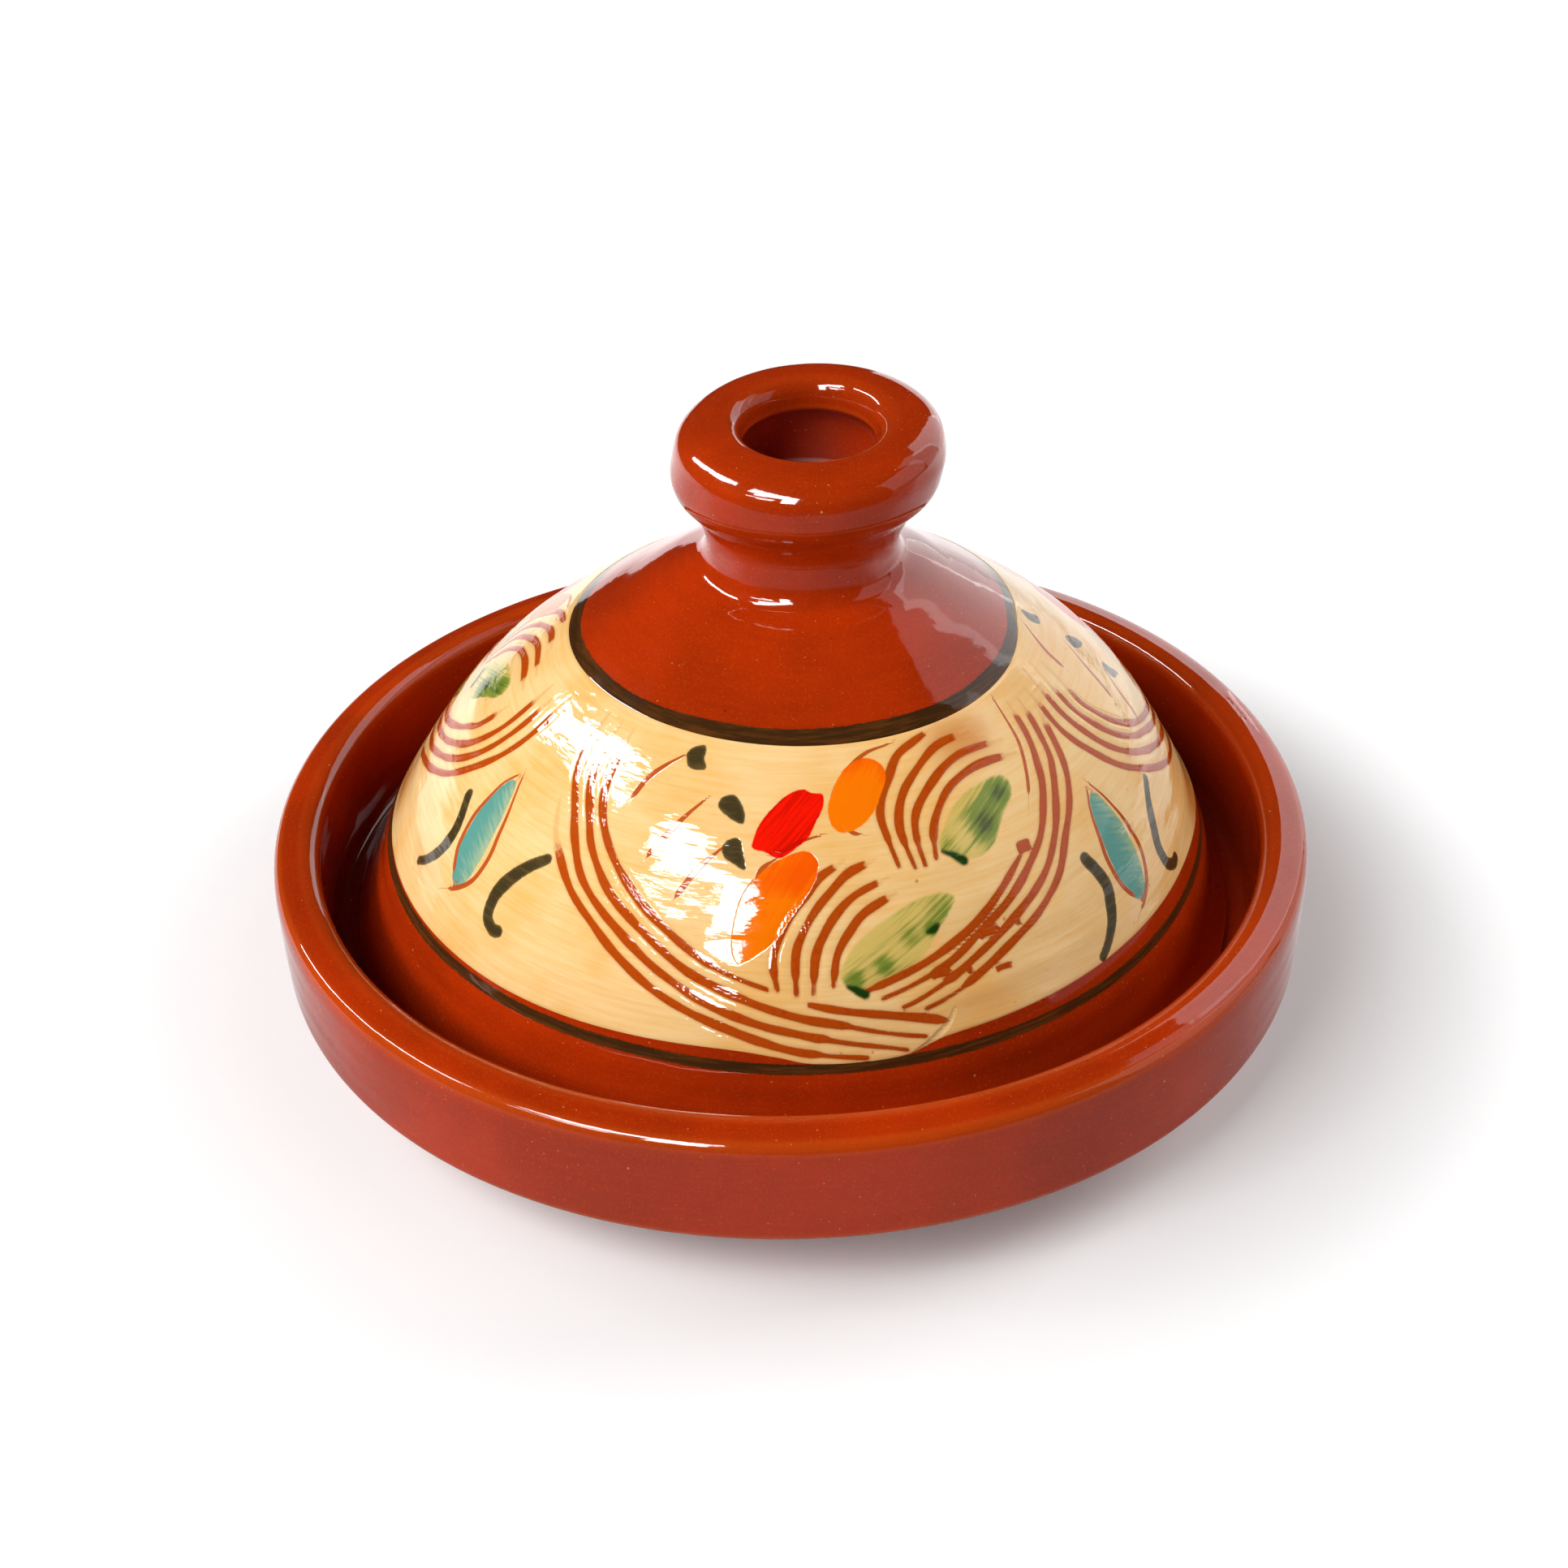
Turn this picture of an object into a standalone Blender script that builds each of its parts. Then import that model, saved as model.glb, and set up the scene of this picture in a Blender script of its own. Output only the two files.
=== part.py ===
"""Glazed terracotta tagine: a shallow dish with a thick upright rim, and a conical lid.

The lid flares into a foot that stands on a ledge inside the dish's rim, and it ends
in a short neck and a hollow knob whose cup widens under its lip. Both pieces are
thrown on a wheel, so each is one outline turned round the Z axis. Sizes are in metres,
the dish stands on Z = 0 and both pieces share the Z axis.
"""
import math

import bpy
import numpy as np

MM = 0.001

# Facets round the axis, points along each round stretch, and the closest two points may lie
TURN_STEPS = 64
ROUND_POINTS = 5
CONE_POINTS = 11
MERGE_DISTANCE = 0.01 * MM

# Dish
DISH_RADIUS = 135.0 * MM
DISH_HEIGHT = 48.4 * MM
RIM_WIDTH = 13.0 * MM
RIM_OUTER_ROUND = 9.0 * MM
RIM_OUTER_DROP = 10.5 * MM
RIM_INNER_DROP = 6.0 * MM
RIM_FACE_HEIGHT = 28.5 * MM
RIM_HEEL_ROUND = 3.5 * MM
RIM_HEEL_TURN = 64.0
FOOT_RADIUS = 96.0 * MM
FOOT_ROUND = 2.0 * MM
BELLY_SWELL = 2.5 * MM
FLOOR_THICKNESS = 9.0 * MM
FLOOR_RADIUS = 84.0 * MM

# Ledge that the lid stands on, inside the rim
SEAT_DEPTH = 30.7 * MM
SEAT_WIDTH = 15.0 * MM
SEAT_CORNER_ROUND = 3.0 * MM
SEAT_GAP = 0.3 * MM
LID_PLAY = 6.0 * MM

# Lid: foot, wall and cone
LID_WALL = 6.5 * MM
LID_FOOT_WIDTH = 4.0 * MM
LID_FOOT_ROUND = 2.5 * MM
FLARE_WIDTH = 10.0 * MM
FLARE_HEIGHT = 25.0 * MM
FLARE_TOP_PULL = 5.0 * MM
FLARE_FOOT_LEAN = math.radians(38.0)
FLARE_FOOT_PULL = 9.0 * MM
CONE_HEIGHT = 73.0 * MM
CONE_START_LEAN = math.radians(30.5)
CONE_START_PULL = 40.0 * MM
CONE_END_RISE = math.radians(31.0)
CONE_END_PULL = 68.0 * MM
CROWN_RISE = 6.0 * MM
CROWN_PULL = 10.0 * MM

# Lid: neck and knob
NECK_RADIUS = 23.7 * MM
NECK_FILLET = 6.0 * MM
NECK_HEIGHT = 10.5 * MM
NECK_FLARE = 5.8 * MM
NECK_PULL = 4.2 * MM
KNOB_RADIUS = 32.8 * MM
KNOB_HEIGHT = 22.0 * MM
KNOB_UNDER = 9.0 * MM
KNOB_SIDE_PULL = 4.2 * MM
KNOB_CREASE_PULL = 2.7 * MM
KNOB_CREST_RADIUS = 23.8 * MM
KNOB_MOUTH_RADIUS = 18.0 * MM
KNOB_LIP_DROP = 5.5 * MM
KNOB_LIP_HEIGHT = 2.0 * MM
KNOB_LIP_UNDERCUT = 4.0 * MM
CUP_RADIUS = 21.0 * MM
CUP_DEPTH = 24.0 * MM
CUP_FLOOR_ROUND = 8.0 * MM

# Heights and radii that follow from the sizes above
SEAT_Z = DISH_HEIGHT - SEAT_DEPTH
RIM_INNER_RADIUS = DISH_RADIUS - RIM_WIDTH
LID_RADIUS = RIM_INNER_RADIUS - LID_PLAY
LID_Z = SEAT_Z + SEAT_GAP


def arc(centre, half_width, half_height, start, end, points=ROUND_POINTS):
    """Points on an ellipse round centre, from the start to the end angle in degrees."""
    angles = np.radians(np.linspace(start, end, points))
    return np.column_stack((centre[0] + half_width * np.cos(angles), centre[1] + half_height * np.sin(angles)))


def bezier(first, first_pull, last_pull, last, points):
    """Points on the cubic curve from first to last, drawn towards the two pulls."""
    t = np.linspace(0.0, 1.0, points)[:, None]
    s = 1.0 - t
    corners = [np.array(corner) for corner in (first, first_pull, last_pull, last)]
    return s**3 * corners[0] + 3 * s**2 * t * corners[1] + 3 * s * t**2 * corners[2] + t**3 * corners[3]


def inset(points, wall):
    """The same line moved by the wall thickness to the left of its way."""
    along = np.gradient(points, axis=0)
    along /= np.linalg.norm(along, axis=1)[:, None]
    return points + wall * np.column_stack((-along[:, 1], along[:, 0]))


def join(*stretches):
    """One outline from stretches end to end, with a shared end point kept once."""
    points = np.vstack([np.atleast_2d(stretch) for stretch in stretches])
    steps = np.linalg.norm(np.diff(points, axis=0), axis=1)
    return points[np.concatenate(([True], steps > MERGE_DISTANCE))]


def dish_outline():
    """Half section from the middle of the floor, over the rim, to the middle of the foot."""
    floor_z = FLOOR_THICKNESS
    seat_inner = LID_RADIUS + LID_PLAY - SEAT_WIDTH
    crest = (DISH_RADIUS - RIM_OUTER_ROUND, DISH_HEIGHT)
    inner_round = RIM_WIDTH - RIM_OUTER_ROUND
    heel_z = DISH_HEIGHT - RIM_FACE_HEIGHT
    bowl = bezier((FLOOR_RADIUS, floor_z), ((FLOOR_RADIUS + seat_inner) / 2, floor_z),
                  (seat_inner - BELLY_SWELL, (floor_z + SEAT_Z) / 2), (seat_inner, SEAT_Z), ROUND_POINTS)
    corner = arc((RIM_INNER_RADIUS - SEAT_CORNER_ROUND, SEAT_Z + SEAT_CORNER_ROUND),
                 SEAT_CORNER_ROUND, SEAT_CORNER_ROUND, -90, 0)
    rim_inside = arc((crest[0], DISH_HEIGHT - RIM_INNER_DROP), inner_round, RIM_INNER_DROP, 180, 90)
    rim_outside = arc((crest[0], DISH_HEIGHT - RIM_OUTER_DROP), RIM_OUTER_ROUND, RIM_OUTER_DROP, 90, 0)
    heel = arc((DISH_RADIUS - RIM_HEEL_ROUND, heel_z + RIM_HEEL_ROUND), RIM_HEEL_ROUND, RIM_HEEL_ROUND,
               0, -RIM_HEEL_TURN)
    heel_end = heel[-1]
    foot_top = np.array((FOOT_RADIUS + FOOT_ROUND, FOOT_ROUND))
    inward = (foot_top - heel_end) / np.linalg.norm(foot_top - heel_end)
    middle = (heel_end + foot_top) / 2 + BELLY_SWELL * np.array((-inward[1], inward[0]))
    belly = bezier(heel_end, middle, middle, foot_top, ROUND_POINTS + 1)
    return join((0.0, floor_z), bowl, corner, rim_inside, rim_outside, heel, belly,
                (FOOT_RADIUS, 0.0), (0.0, 0.0))


def cone_outline():
    """Outside of the lid from the neck's foot down to the edge of its foot."""
    waist = np.array((LID_RADIUS - FLARE_WIDTH, FLARE_HEIGHT))
    top = np.array((NECK_RADIUS + NECK_FILLET * (1 - math.sin(CONE_END_RISE)), FLARE_HEIGHT + CONE_HEIGHT))
    start = np.array((-math.sin(CONE_START_LEAN), math.cos(CONE_START_LEAN)))
    end = np.array((-math.cos(CONE_END_RISE), math.sin(CONE_END_RISE)))
    cone = bezier(top, top - CONE_END_PULL * end, waist + CONE_START_PULL * start, waist, CONE_POINTS)
    edge = np.array((LID_RADIUS, LID_FOOT_ROUND))
    up_and_in = np.array((-math.sin(FLARE_FOOT_LEAN), math.cos(FLARE_FOOT_LEAN)))
    flare = bezier(waist, waist - FLARE_TOP_PULL * start, edge + FLARE_FOOT_PULL * up_and_in, edge,
                   ROUND_POINTS + 1)
    return join(cone, flare)


def knob_outline():
    """Outside and inside of the knob and neck, from the cup's floor down to the cone."""
    cone_top = FLARE_HEIGHT + CONE_HEIGHT
    fillet_centre = (NECK_RADIUS + NECK_FILLET, cone_top + NECK_FILLET * math.cos(CONE_END_RISE))
    crease = np.array((NECK_RADIUS + NECK_FLARE, fillet_centre[1] + NECK_HEIGHT))
    widest_z = crease[1] + KNOB_UNDER
    crest_z = crease[1] + KNOB_HEIGHT
    lip_z = crest_z - KNOB_LIP_DROP
    cup_z = crest_z - CUP_DEPTH
    cup_floor = arc((CUP_RADIUS - CUP_FLOOR_ROUND, cup_z + CUP_FLOOR_ROUND), CUP_FLOOR_ROUND, CUP_FLOOR_ROUND,
                    -90, 0)
    undercut_z = lip_z - KNOB_LIP_UNDERCUT
    under_lip = bezier(cup_floor[-1], (CUP_RADIUS, undercut_z), (KNOB_MOUTH_RADIUS, undercut_z),
                       (KNOB_MOUTH_RADIUS, lip_z - KNOB_LIP_HEIGHT), ROUND_POINTS)
    lip = arc((KNOB_CREST_RADIUS, lip_z), KNOB_CREST_RADIUS - KNOB_MOUTH_RADIUS, KNOB_LIP_DROP, 180, 90)
    shoulder = arc((KNOB_CREST_RADIUS, widest_z), KNOB_RADIUS - KNOB_CREST_RADIUS, crest_z - widest_z, 90, 0,
                   ROUND_POINTS + 1)
    under = bezier((KNOB_RADIUS, widest_z), (KNOB_RADIUS, widest_z - KNOB_SIDE_PULL),
                   crease + KNOB_CREASE_PULL, crease, ROUND_POINTS)
    neck = bezier(crease, crease - KNOB_CREASE_PULL, (NECK_RADIUS, fillet_centre[1] + NECK_PULL),
                  (NECK_RADIUS, fillet_centre[1]), ROUND_POINTS)
    fillet_end = 270 - math.degrees(CONE_END_RISE)
    fillet = arc(fillet_centre, NECK_FILLET, NECK_FILLET, 180, fillet_end)
    return join((0.0, cup_z), cup_floor, under_lip, lip, shoulder, under, neck, fillet)


def lid_outline():
    """Half section from the middle of the knob's cup to the crown of the lid's hollow.

    The inner wall keeps the cone's shape one wall thickness in, and ends at the foot's flat face.
    """
    cone = cone_outline()
    foot_edge = arc((LID_RADIUS - LID_FOOT_ROUND, LID_FOOT_ROUND), LID_FOOT_ROUND, LID_FOOT_ROUND, 0, -90)
    foot_inner = (LID_RADIUS - LID_FOOT_ROUND - LID_FOOT_WIDTH, 0.0)
    inside = inset(cone, -LID_WALL)[::-1]
    inside = inside[inside[:, 1] > LID_WALL / 2]
    shoulder = inside[-1]
    crown_z = shoulder[1] + CROWN_RISE
    up_and_in = np.array((-math.cos(CONE_END_RISE), math.sin(CONE_END_RISE)))
    crown = bezier(shoulder, shoulder + CROWN_PULL * up_and_in, (CROWN_PULL, crown_z), (0.0, crown_z),
                   ROUND_POINTS + 1)
    return join(knob_outline(), cone, foot_edge, foot_inner, inside, crown)


def material(name, colour, roughness):
    """A plain glazed ceramic finish."""
    made = bpy.data.materials.new(name)
    made.use_nodes = True
    shader = made.node_tree.nodes["Principled BSDF"]
    shader.inputs["Base Color"].default_value = (*colour, 1.0)
    shader.inputs["Roughness"].default_value = roughness
    shader.inputs["Metallic"].default_value = 0.0
    made.diffuse_color = (*colour, 1.0)
    return made


def turned(name, outline, z, finish, collection):
    """An object whose outline is turned once round its own Z axis, standing at height z."""
    mesh = bpy.data.meshes.new(name)
    corners = [(radius, 0.0, height) for radius, height in outline.tolist()]
    mesh.from_pydata(corners, [(i, i + 1) for i in range(len(corners) - 1)], [])
    mesh.materials.append(finish)
    piece = bpy.data.objects.new(name, mesh)
    piece.location = (0.0, 0.0, z)
    collection.objects.link(piece)
    turn = piece.modifiers.new("turn", "SCREW")
    turn.axis = "Z"
    turn.angle = 2 * math.pi
    turn.steps = TURN_STEPS
    turn.render_steps = TURN_STEPS
    turn.use_merge_vertices = True
    turn.merge_threshold = MERGE_DISTANCE
    turn.use_smooth_shade = True
    return piece


def make_dish(collection):
    """The dish: glazed clay, flat foot, ledge inside an upright rim."""
    finish = material("dish_glazed_clay", (0.36, 0.055, 0.012), 0.12)
    return turned("dish", dish_outline(), 0.0, finish, collection)


def make_lid(collection):
    """The lid: it stands on the dish's ledge and lifts straight up off it."""
    finish = material("lid_glazed_clay", (0.80, 0.56, 0.27), 0.12)
    return turned("lid", lid_outline(), LID_Z, finish, collection)


def make_tagine():
    """Clear the scene, then make the collection and its two pieces."""
    for leftover in list(bpy.data.objects):
        bpy.data.objects.remove(leftover, do_unlink=True)
    collection = bpy.data.collections.new("tagine")
    bpy.context.scene.collection.children.link(collection)
    make_dish(collection)
    make_lid(collection)


make_tagine()
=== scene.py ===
"""Looks of the tagine: glazed clay, cream slip combed through to the clay, and painted leaves and petals.

Lengths are in millimetres until a mesh, a light or the camera is made. Angles round the lid are in degrees
from its front, growing to the right, and heights on its cone are slants: the way down the cone from the
foot of its neck.
"""
import math

import bpy
import numpy as np
from mathutils import Matrix


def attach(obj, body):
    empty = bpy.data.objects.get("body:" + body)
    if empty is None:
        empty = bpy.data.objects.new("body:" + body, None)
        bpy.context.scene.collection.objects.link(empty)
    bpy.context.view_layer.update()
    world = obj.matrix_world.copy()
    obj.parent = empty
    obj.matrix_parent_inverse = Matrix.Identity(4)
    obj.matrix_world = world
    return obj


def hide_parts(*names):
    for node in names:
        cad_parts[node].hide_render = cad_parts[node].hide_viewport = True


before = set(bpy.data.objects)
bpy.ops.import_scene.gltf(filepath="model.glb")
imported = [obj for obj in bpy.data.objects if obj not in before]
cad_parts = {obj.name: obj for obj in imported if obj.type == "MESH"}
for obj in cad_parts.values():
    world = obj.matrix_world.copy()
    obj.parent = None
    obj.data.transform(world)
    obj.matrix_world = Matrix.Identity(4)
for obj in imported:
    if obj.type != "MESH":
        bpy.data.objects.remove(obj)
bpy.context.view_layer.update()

# Camera. It stands in front of the pot and looks down on it, a little rolled, with the long lens and the
# square frame of the photograph.
MM = 0.001
PHOTO_SIDE = 1932
FOCAL_PIXELS = 2400
SENSOR = 36.0
PHOTO_MIDDLE = (972.3, 968.1)
CAMERA_PLACE = (0.0, -424.6, 335.5)
LOOK_DOWN = 34.24
CAMERA_ROLL = -1.27

lens = bpy.data.cameras.new("camera")
lens.sensor_width = SENSOR
lens.lens = SENSOR * FOCAL_PIXELS / PHOTO_SIDE
lens.shift_x = (PHOTO_SIDE / 2 - PHOTO_MIDDLE[0]) / PHOTO_SIDE
lens.shift_y = (PHOTO_MIDDLE[1] - PHOTO_SIDE / 2) / PHOTO_SIDE
camera = bpy.data.objects.new("camera", lens)
bpy.context.scene.collection.objects.link(camera)
camera.matrix_world = (Matrix.Translation([MM * place for place in CAMERA_PLACE])
                       @ Matrix.Rotation(math.radians(90 - LOOK_DOWN), 4, "X")
                       @ Matrix.Rotation(math.radians(CAMERA_ROLL), 4, "Z"))
bpy.context.scene.camera = camera
bpy.context.scene.view_settings.view_transform = "Standard"


# Lid. One piece of thrown red clay: a cone that flares into a foot, a short neck, and a thick hollow knob
# luted on top. Drying pulled the upper part a little to the right and tipped the knob.
LID_FOOT_Z = 18.0
LID_RADIUS = 116.0
LID_WALL = 6.5
LID_FOOT_ROUND = 2.5
LID_FOOT_WIDTH = 4.0
FLARE_WIDTH = 10.0
FLARE_HEIGHT = 25.0
FLARE_TOP_PULL = 5.0
FLARE_FOOT_PULL = 9.0
FLARE_FOOT_LEAN = math.radians(38.0)
CONE_HEIGHT = 73.0
CONE_START_LEAN = math.radians(30.5)
CONE_START_PULL = 40.0
CONE_END_RISE = math.radians(31.0)
CONE_END_PULL = 68.0
CROWN_RISE = 6.0
CROWN_PULL = 10.0
NECK_RADIUS = 23.4
NECK_FILLET = 6.6
NECK_HEIGHT = 10.1
NECK_FLARE = 5.9
NECK_PULL = 4.2
CREASE_PULL = 2.4
# The knob's outside, from the crease under it to the lip inside its mouth: radius, and height over the crease
KNOB_OUTSIDE = [(29.3, 0.0), (31.2, 2.3), (32.3, 5.3), (32.6, 8.6), (32.4, 11.6), (31.9, 13.9), (31.2, 15.5),
                (30.1, 16.8), (28.5, 18.0), (26.5, 18.8), (24.4, 19.2), (22.2, 19.3), (20.3, 19.2),
                (18.7, 18.6), (17.4, 17.4), (16.5, 15.6), (16.0, 13.1)]
CUP_RADIUS = 20.6
CUP_UNDERCUT = 3.0
CUP_DEPTH = 21.7
# The cup's floor meets its wall in a tight corner. Its rows of points, the first of the mesh, are left rough
CUP_FLOOR_ROUND = 1.5
CUP_FLOOR_ROWS = 18
CUP_FLOOR_ROUGHNESS = 0.6
LID_LEAN = 0.044
KNOB_TIP_FORWARD = math.radians(6.0)
KNOB_TIP_LEFT = math.radians(1.2)
KNOB_SHIFT = 1.4
KNOB_TIP_START = 129.0
KNOB_TIP_END = 151.0
NECK_FORWARD = 2.4
NECK_FORWARD_FROM = (111.0, 117.0)
NECK_FORWARD_TO = (122.0, 131.0)
NECK_SAG = 2.0
LID_STEPS = 320
CONE_POINTS = 300
FLARE_POINTS = 100


def arc(centre, radius, start, end, points):
    """Points on a circle round centre, from the start to the end angle in degrees."""
    angles = np.radians(np.linspace(start, end, points))
    return np.array(centre) + radius * np.column_stack((np.cos(angles), np.sin(angles)))


def bezier(first, first_pull, last_pull, last, points):
    """Points on the cubic curve from first to last, drawn towards the two pulls."""
    t = np.linspace(0.0, 1.0, points)[:, None]
    s = 1.0 - t
    corners = [np.array(corner, float) for corner in (first, first_pull, last_pull, last)]
    return s**3 * corners[0] + 3 * s**2 * t * corners[1] + 3 * s * t**2 * corners[2] + t**3 * corners[3]


def straight(first, last, points):
    """Points on the straight line from first to last."""
    return np.linspace(first, last, points)


def spline(points, closed=False, per_span=8):
    """Points on the smooth curve that passes through the given ones."""
    points = np.array(points, float)
    if closed:
        padded = np.vstack((points[-1:], points, points[:2]))
    else:
        padded = np.vstack((2 * points[:1] - points[1:2], points, 2 * points[-1:] - points[-2:-1]))
    t = np.linspace(0.0, 1.0, per_span, endpoint=False)[:, None]
    spans = []
    for a, b, c, d in zip(padded, padded[1:], padded[2:], padded[3:]):
        spans.append(0.5 * (2 * b + (c - a) * t + (2 * a - 5 * b + 4 * c - d) * t**2
                            + (3 * b - a - 3 * c + d) * t**3))
    return np.vstack(spans + ([] if closed else [points[-1:]]))


def join(*stretches):
    """One outline from stretches end to end, with a shared end point kept once."""
    points = np.vstack([np.atleast_2d(stretch) for stretch in stretches])
    steps = np.linalg.norm(np.diff(points, axis=0), axis=1)
    return points[np.concatenate(([True], steps > 0.01))]


def line_lengths(points):
    """The way along a line of points up to each of them."""
    return np.concatenate(([0.0], np.cumsum(np.linalg.norm(np.diff(points, axis=0), axis=1))))


def cone_line():
    """Outside of the cone and its flare, from the neck's foot down to the edge of the lid's foot."""
    foot = np.array((0.0, LID_FOOT_Z))
    waist = foot + (LID_RADIUS - FLARE_WIDTH, FLARE_HEIGHT)
    top = foot + (NECK_RADIUS + NECK_FILLET * (1 - math.sin(CONE_END_RISE)), FLARE_HEIGHT + CONE_HEIGHT)
    start = np.array((-math.sin(CONE_START_LEAN), math.cos(CONE_START_LEAN)))
    end = np.array((-math.cos(CONE_END_RISE), math.sin(CONE_END_RISE)))
    cone = bezier(top, top - CONE_END_PULL * end, waist + CONE_START_PULL * start, waist, CONE_POINTS)
    edge = foot + (LID_RADIUS, LID_FOOT_ROUND)
    up_and_in = np.array((-math.sin(FLARE_FOOT_LEAN), math.cos(FLARE_FOOT_LEAN)))
    foot_pull = edge + FLARE_FOOT_PULL * up_and_in
    flare = bezier(waist, waist - FLARE_TOP_PULL * start, foot_pull, edge, FLARE_POINTS)
    return join(cone, flare)


CONE_LINE = cone_line()
CONE_SLANTS = line_lengths(CONE_LINE)
CONE_LENGTH = CONE_SLANTS[-1]


def on_cone(slants):
    """Radius and height of the cone's outside at these slants."""
    return np.stack([np.interp(slants, CONE_SLANTS, CONE_LINE[:, i]) for i in (0, 1)], axis=-1)


def knob_line():
    """Cup, lip, outside and neck of the knob, from the middle of the cup's floor to the cone's top."""
    fillet_z = LID_FOOT_Z + FLARE_HEIGHT + CONE_HEIGHT + NECK_FILLET * math.cos(CONE_END_RISE)
    crease = np.array((NECK_RADIUS + NECK_FLARE, fillet_z + NECK_HEIGHT))
    outside = spline(KNOB_OUTSIDE, per_span=6)[::-1] + (0.0, crease[1])
    mouth = outside[0]
    cup_z = outside[:, 1].max() - CUP_DEPTH
    cup_round = CUP_RADIUS - CUP_FLOOR_ROUND
    floor = straight((0.0, cup_z), (cup_round, cup_z), 8)
    cup = arc((cup_round, cup_z + CUP_FLOOR_ROUND), CUP_FLOOR_ROUND, -90, 0, 12)
    lip_z = mouth[1] - CUP_UNDERCUT / 2
    under_lip = bezier(cup[-1], (CUP_RADIUS, lip_z), (mouth[0], lip_z), mouth, 12)
    neck_foot = np.array((NECK_RADIUS, fillet_z))
    neck = bezier(crease, crease - CREASE_PULL, neck_foot + (0.0, NECK_PULL), neck_foot, 12)
    fillet_end = 270 - math.degrees(CONE_END_RISE)
    fillet = arc(neck_foot + (NECK_FILLET, 0.0), NECK_FILLET, 180, fillet_end, 10)
    return join(floor, cup, under_lip, outside, neck, fillet)


def spaced(line, points):
    """The same line with this many points at even steps."""
    lengths = line_lengths(line)
    places = np.linspace(0.0, lengths[-1], points)
    return np.column_stack([np.interp(places, lengths, line[:, i]) for i in (0, 1)])


def inside_line():
    """Underside of the foot and inside of the lid, from the foot's edge up to the middle of the crown."""
    along = np.gradient(CONE_LINE, axis=0)
    along /= np.linalg.norm(along, axis=1)[:, None]
    wall = CONE_LINE + LID_WALL * np.column_stack((along[:, 1], -along[:, 0]))
    wall = wall[::-1]
    wall = wall[wall[:, 1] > LID_FOOT_Z + LID_WALL / 2]
    edge = LID_RADIUS - LID_FOOT_ROUND
    round_edge = arc((edge, LID_FOOT_Z + LID_FOOT_ROUND), LID_FOOT_ROUND, 0, -90, 8)
    foot = straight((edge, LID_FOOT_Z), (edge - LID_FOOT_WIDTH, LID_FOOT_Z), 5)
    shoulder = wall[-1]
    crown_z = shoulder[1] + CROWN_RISE
    rise = np.array((-math.cos(CONE_END_RISE), math.sin(CONE_END_RISE)))
    crown = bezier(shoulder, shoulder + CROWN_PULL * rise, (CROWN_PULL, crown_z), (0.0, crown_z), 10)
    return join(round_edge, foot, spaced(wall, 30), crown)


def smooth_step(low, high, value):
    """0 below low, 1 above high, and an even curve between."""
    t = np.clip((value - low) / (high - low), 0.0, 1.0)
    return t * t * (3 - 2 * t)


def lean(points):
    """The lid after drying: shifted right as it rises, its neck bulged forward and its knob tipped."""
    x, y, z = points[..., 0], points[..., 1], points[..., 2]
    tip = smooth_step(KNOB_TIP_START, KNOB_TIP_END, z)
    over = tip * (z - (KNOB_TIP_START + KNOB_TIP_END) / 2)
    bulge = smooth_step(*NECK_FORWARD_FROM, z) * (1 - smooth_step(*NECK_FORWARD_TO, z))
    sag = NECK_SAG * bulge * np.clip(-y / NECK_RADIUS, 0.0, 1.0)
    bent_x = x - over * math.tan(KNOB_TIP_LEFT) + tip * KNOB_SHIFT
    bent_y = y - over * math.tan(KNOB_TIP_FORWARD) - NECK_FORWARD * bulge
    bent_z = z - sag + tip * (y * math.sin(KNOB_TIP_FORWARD) + x * math.sin(KNOB_TIP_LEFT))
    shift = LID_LEAN * np.maximum(z - LID_FOOT_Z, 0.0)
    return np.stack((bent_x + shift, bent_y, bent_z), axis=-1)


def round_angles(steps):
    """This many even angles round the Z axis in radians, with the front's 0 in the middle."""
    return np.linspace(-math.pi, math.pi, steps, endpoint=False)


def round_points(radius, angles, height):
    """Points at these radii from the Z axis, angles round it and heights."""
    return np.stack((radius * np.sin(angles), -radius * np.cos(angles), height), axis=-1)


def turned_grid(line, steps, wobble):
    """Rows of points round the Z axis, one for each point of the line, off the circle by the wobble."""
    angles = round_angles(steps)
    radius = np.maximum(line[:, :1] + wobble(angles, line[:, :1], line[:, 1:]), 0.0)
    return round_points(radius, angles, np.broadcast_to(line[:, 1:], radius.shape))


def per_point(rows):
    """A turned piece's rows of values as one list, with one value for each of its two points on the axis."""
    return np.concatenate((rows[:1, 0], rows[1:-1].reshape(-1, *rows.shape[2:]), rows[-1:, 0]))


def ring_faces(ring, beyond, steps):
    """Faces between rings of points: ring and beyond hold the number of the first point of each."""
    step = np.arange(steps)
    following = (step + 1) % steps
    ring, beyond = ring[:, None], beyond[:, None]
    quads = np.stack((ring + step, ring + following, beyond + following, beyond + step), axis=-1)
    return quads.reshape(-1, 4)


def closed_mesh(name, grid, uv):
    """A body turned from a grid whose first and last rows lie on the axis, each drawn to one point."""
    rows, steps = grid.shape[:2]
    step = np.arange(steps)
    following = (step + 1) % steps
    rings = 1 + steps * np.arange(rows - 2)
    last = 1 + steps * (rows - 2)
    top = np.stack((0 * step, 1 + following, 1 + step), axis=-1)
    bottom = np.stack((last + 0 * step, rings[-1] + step, rings[-1] + following), axis=-1)
    faces = [top, ring_faces(rings[:-1], rings[1:], steps), bottom]
    return make_mesh(name, per_point(grid) * MM, faces, per_point(uv))


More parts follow.
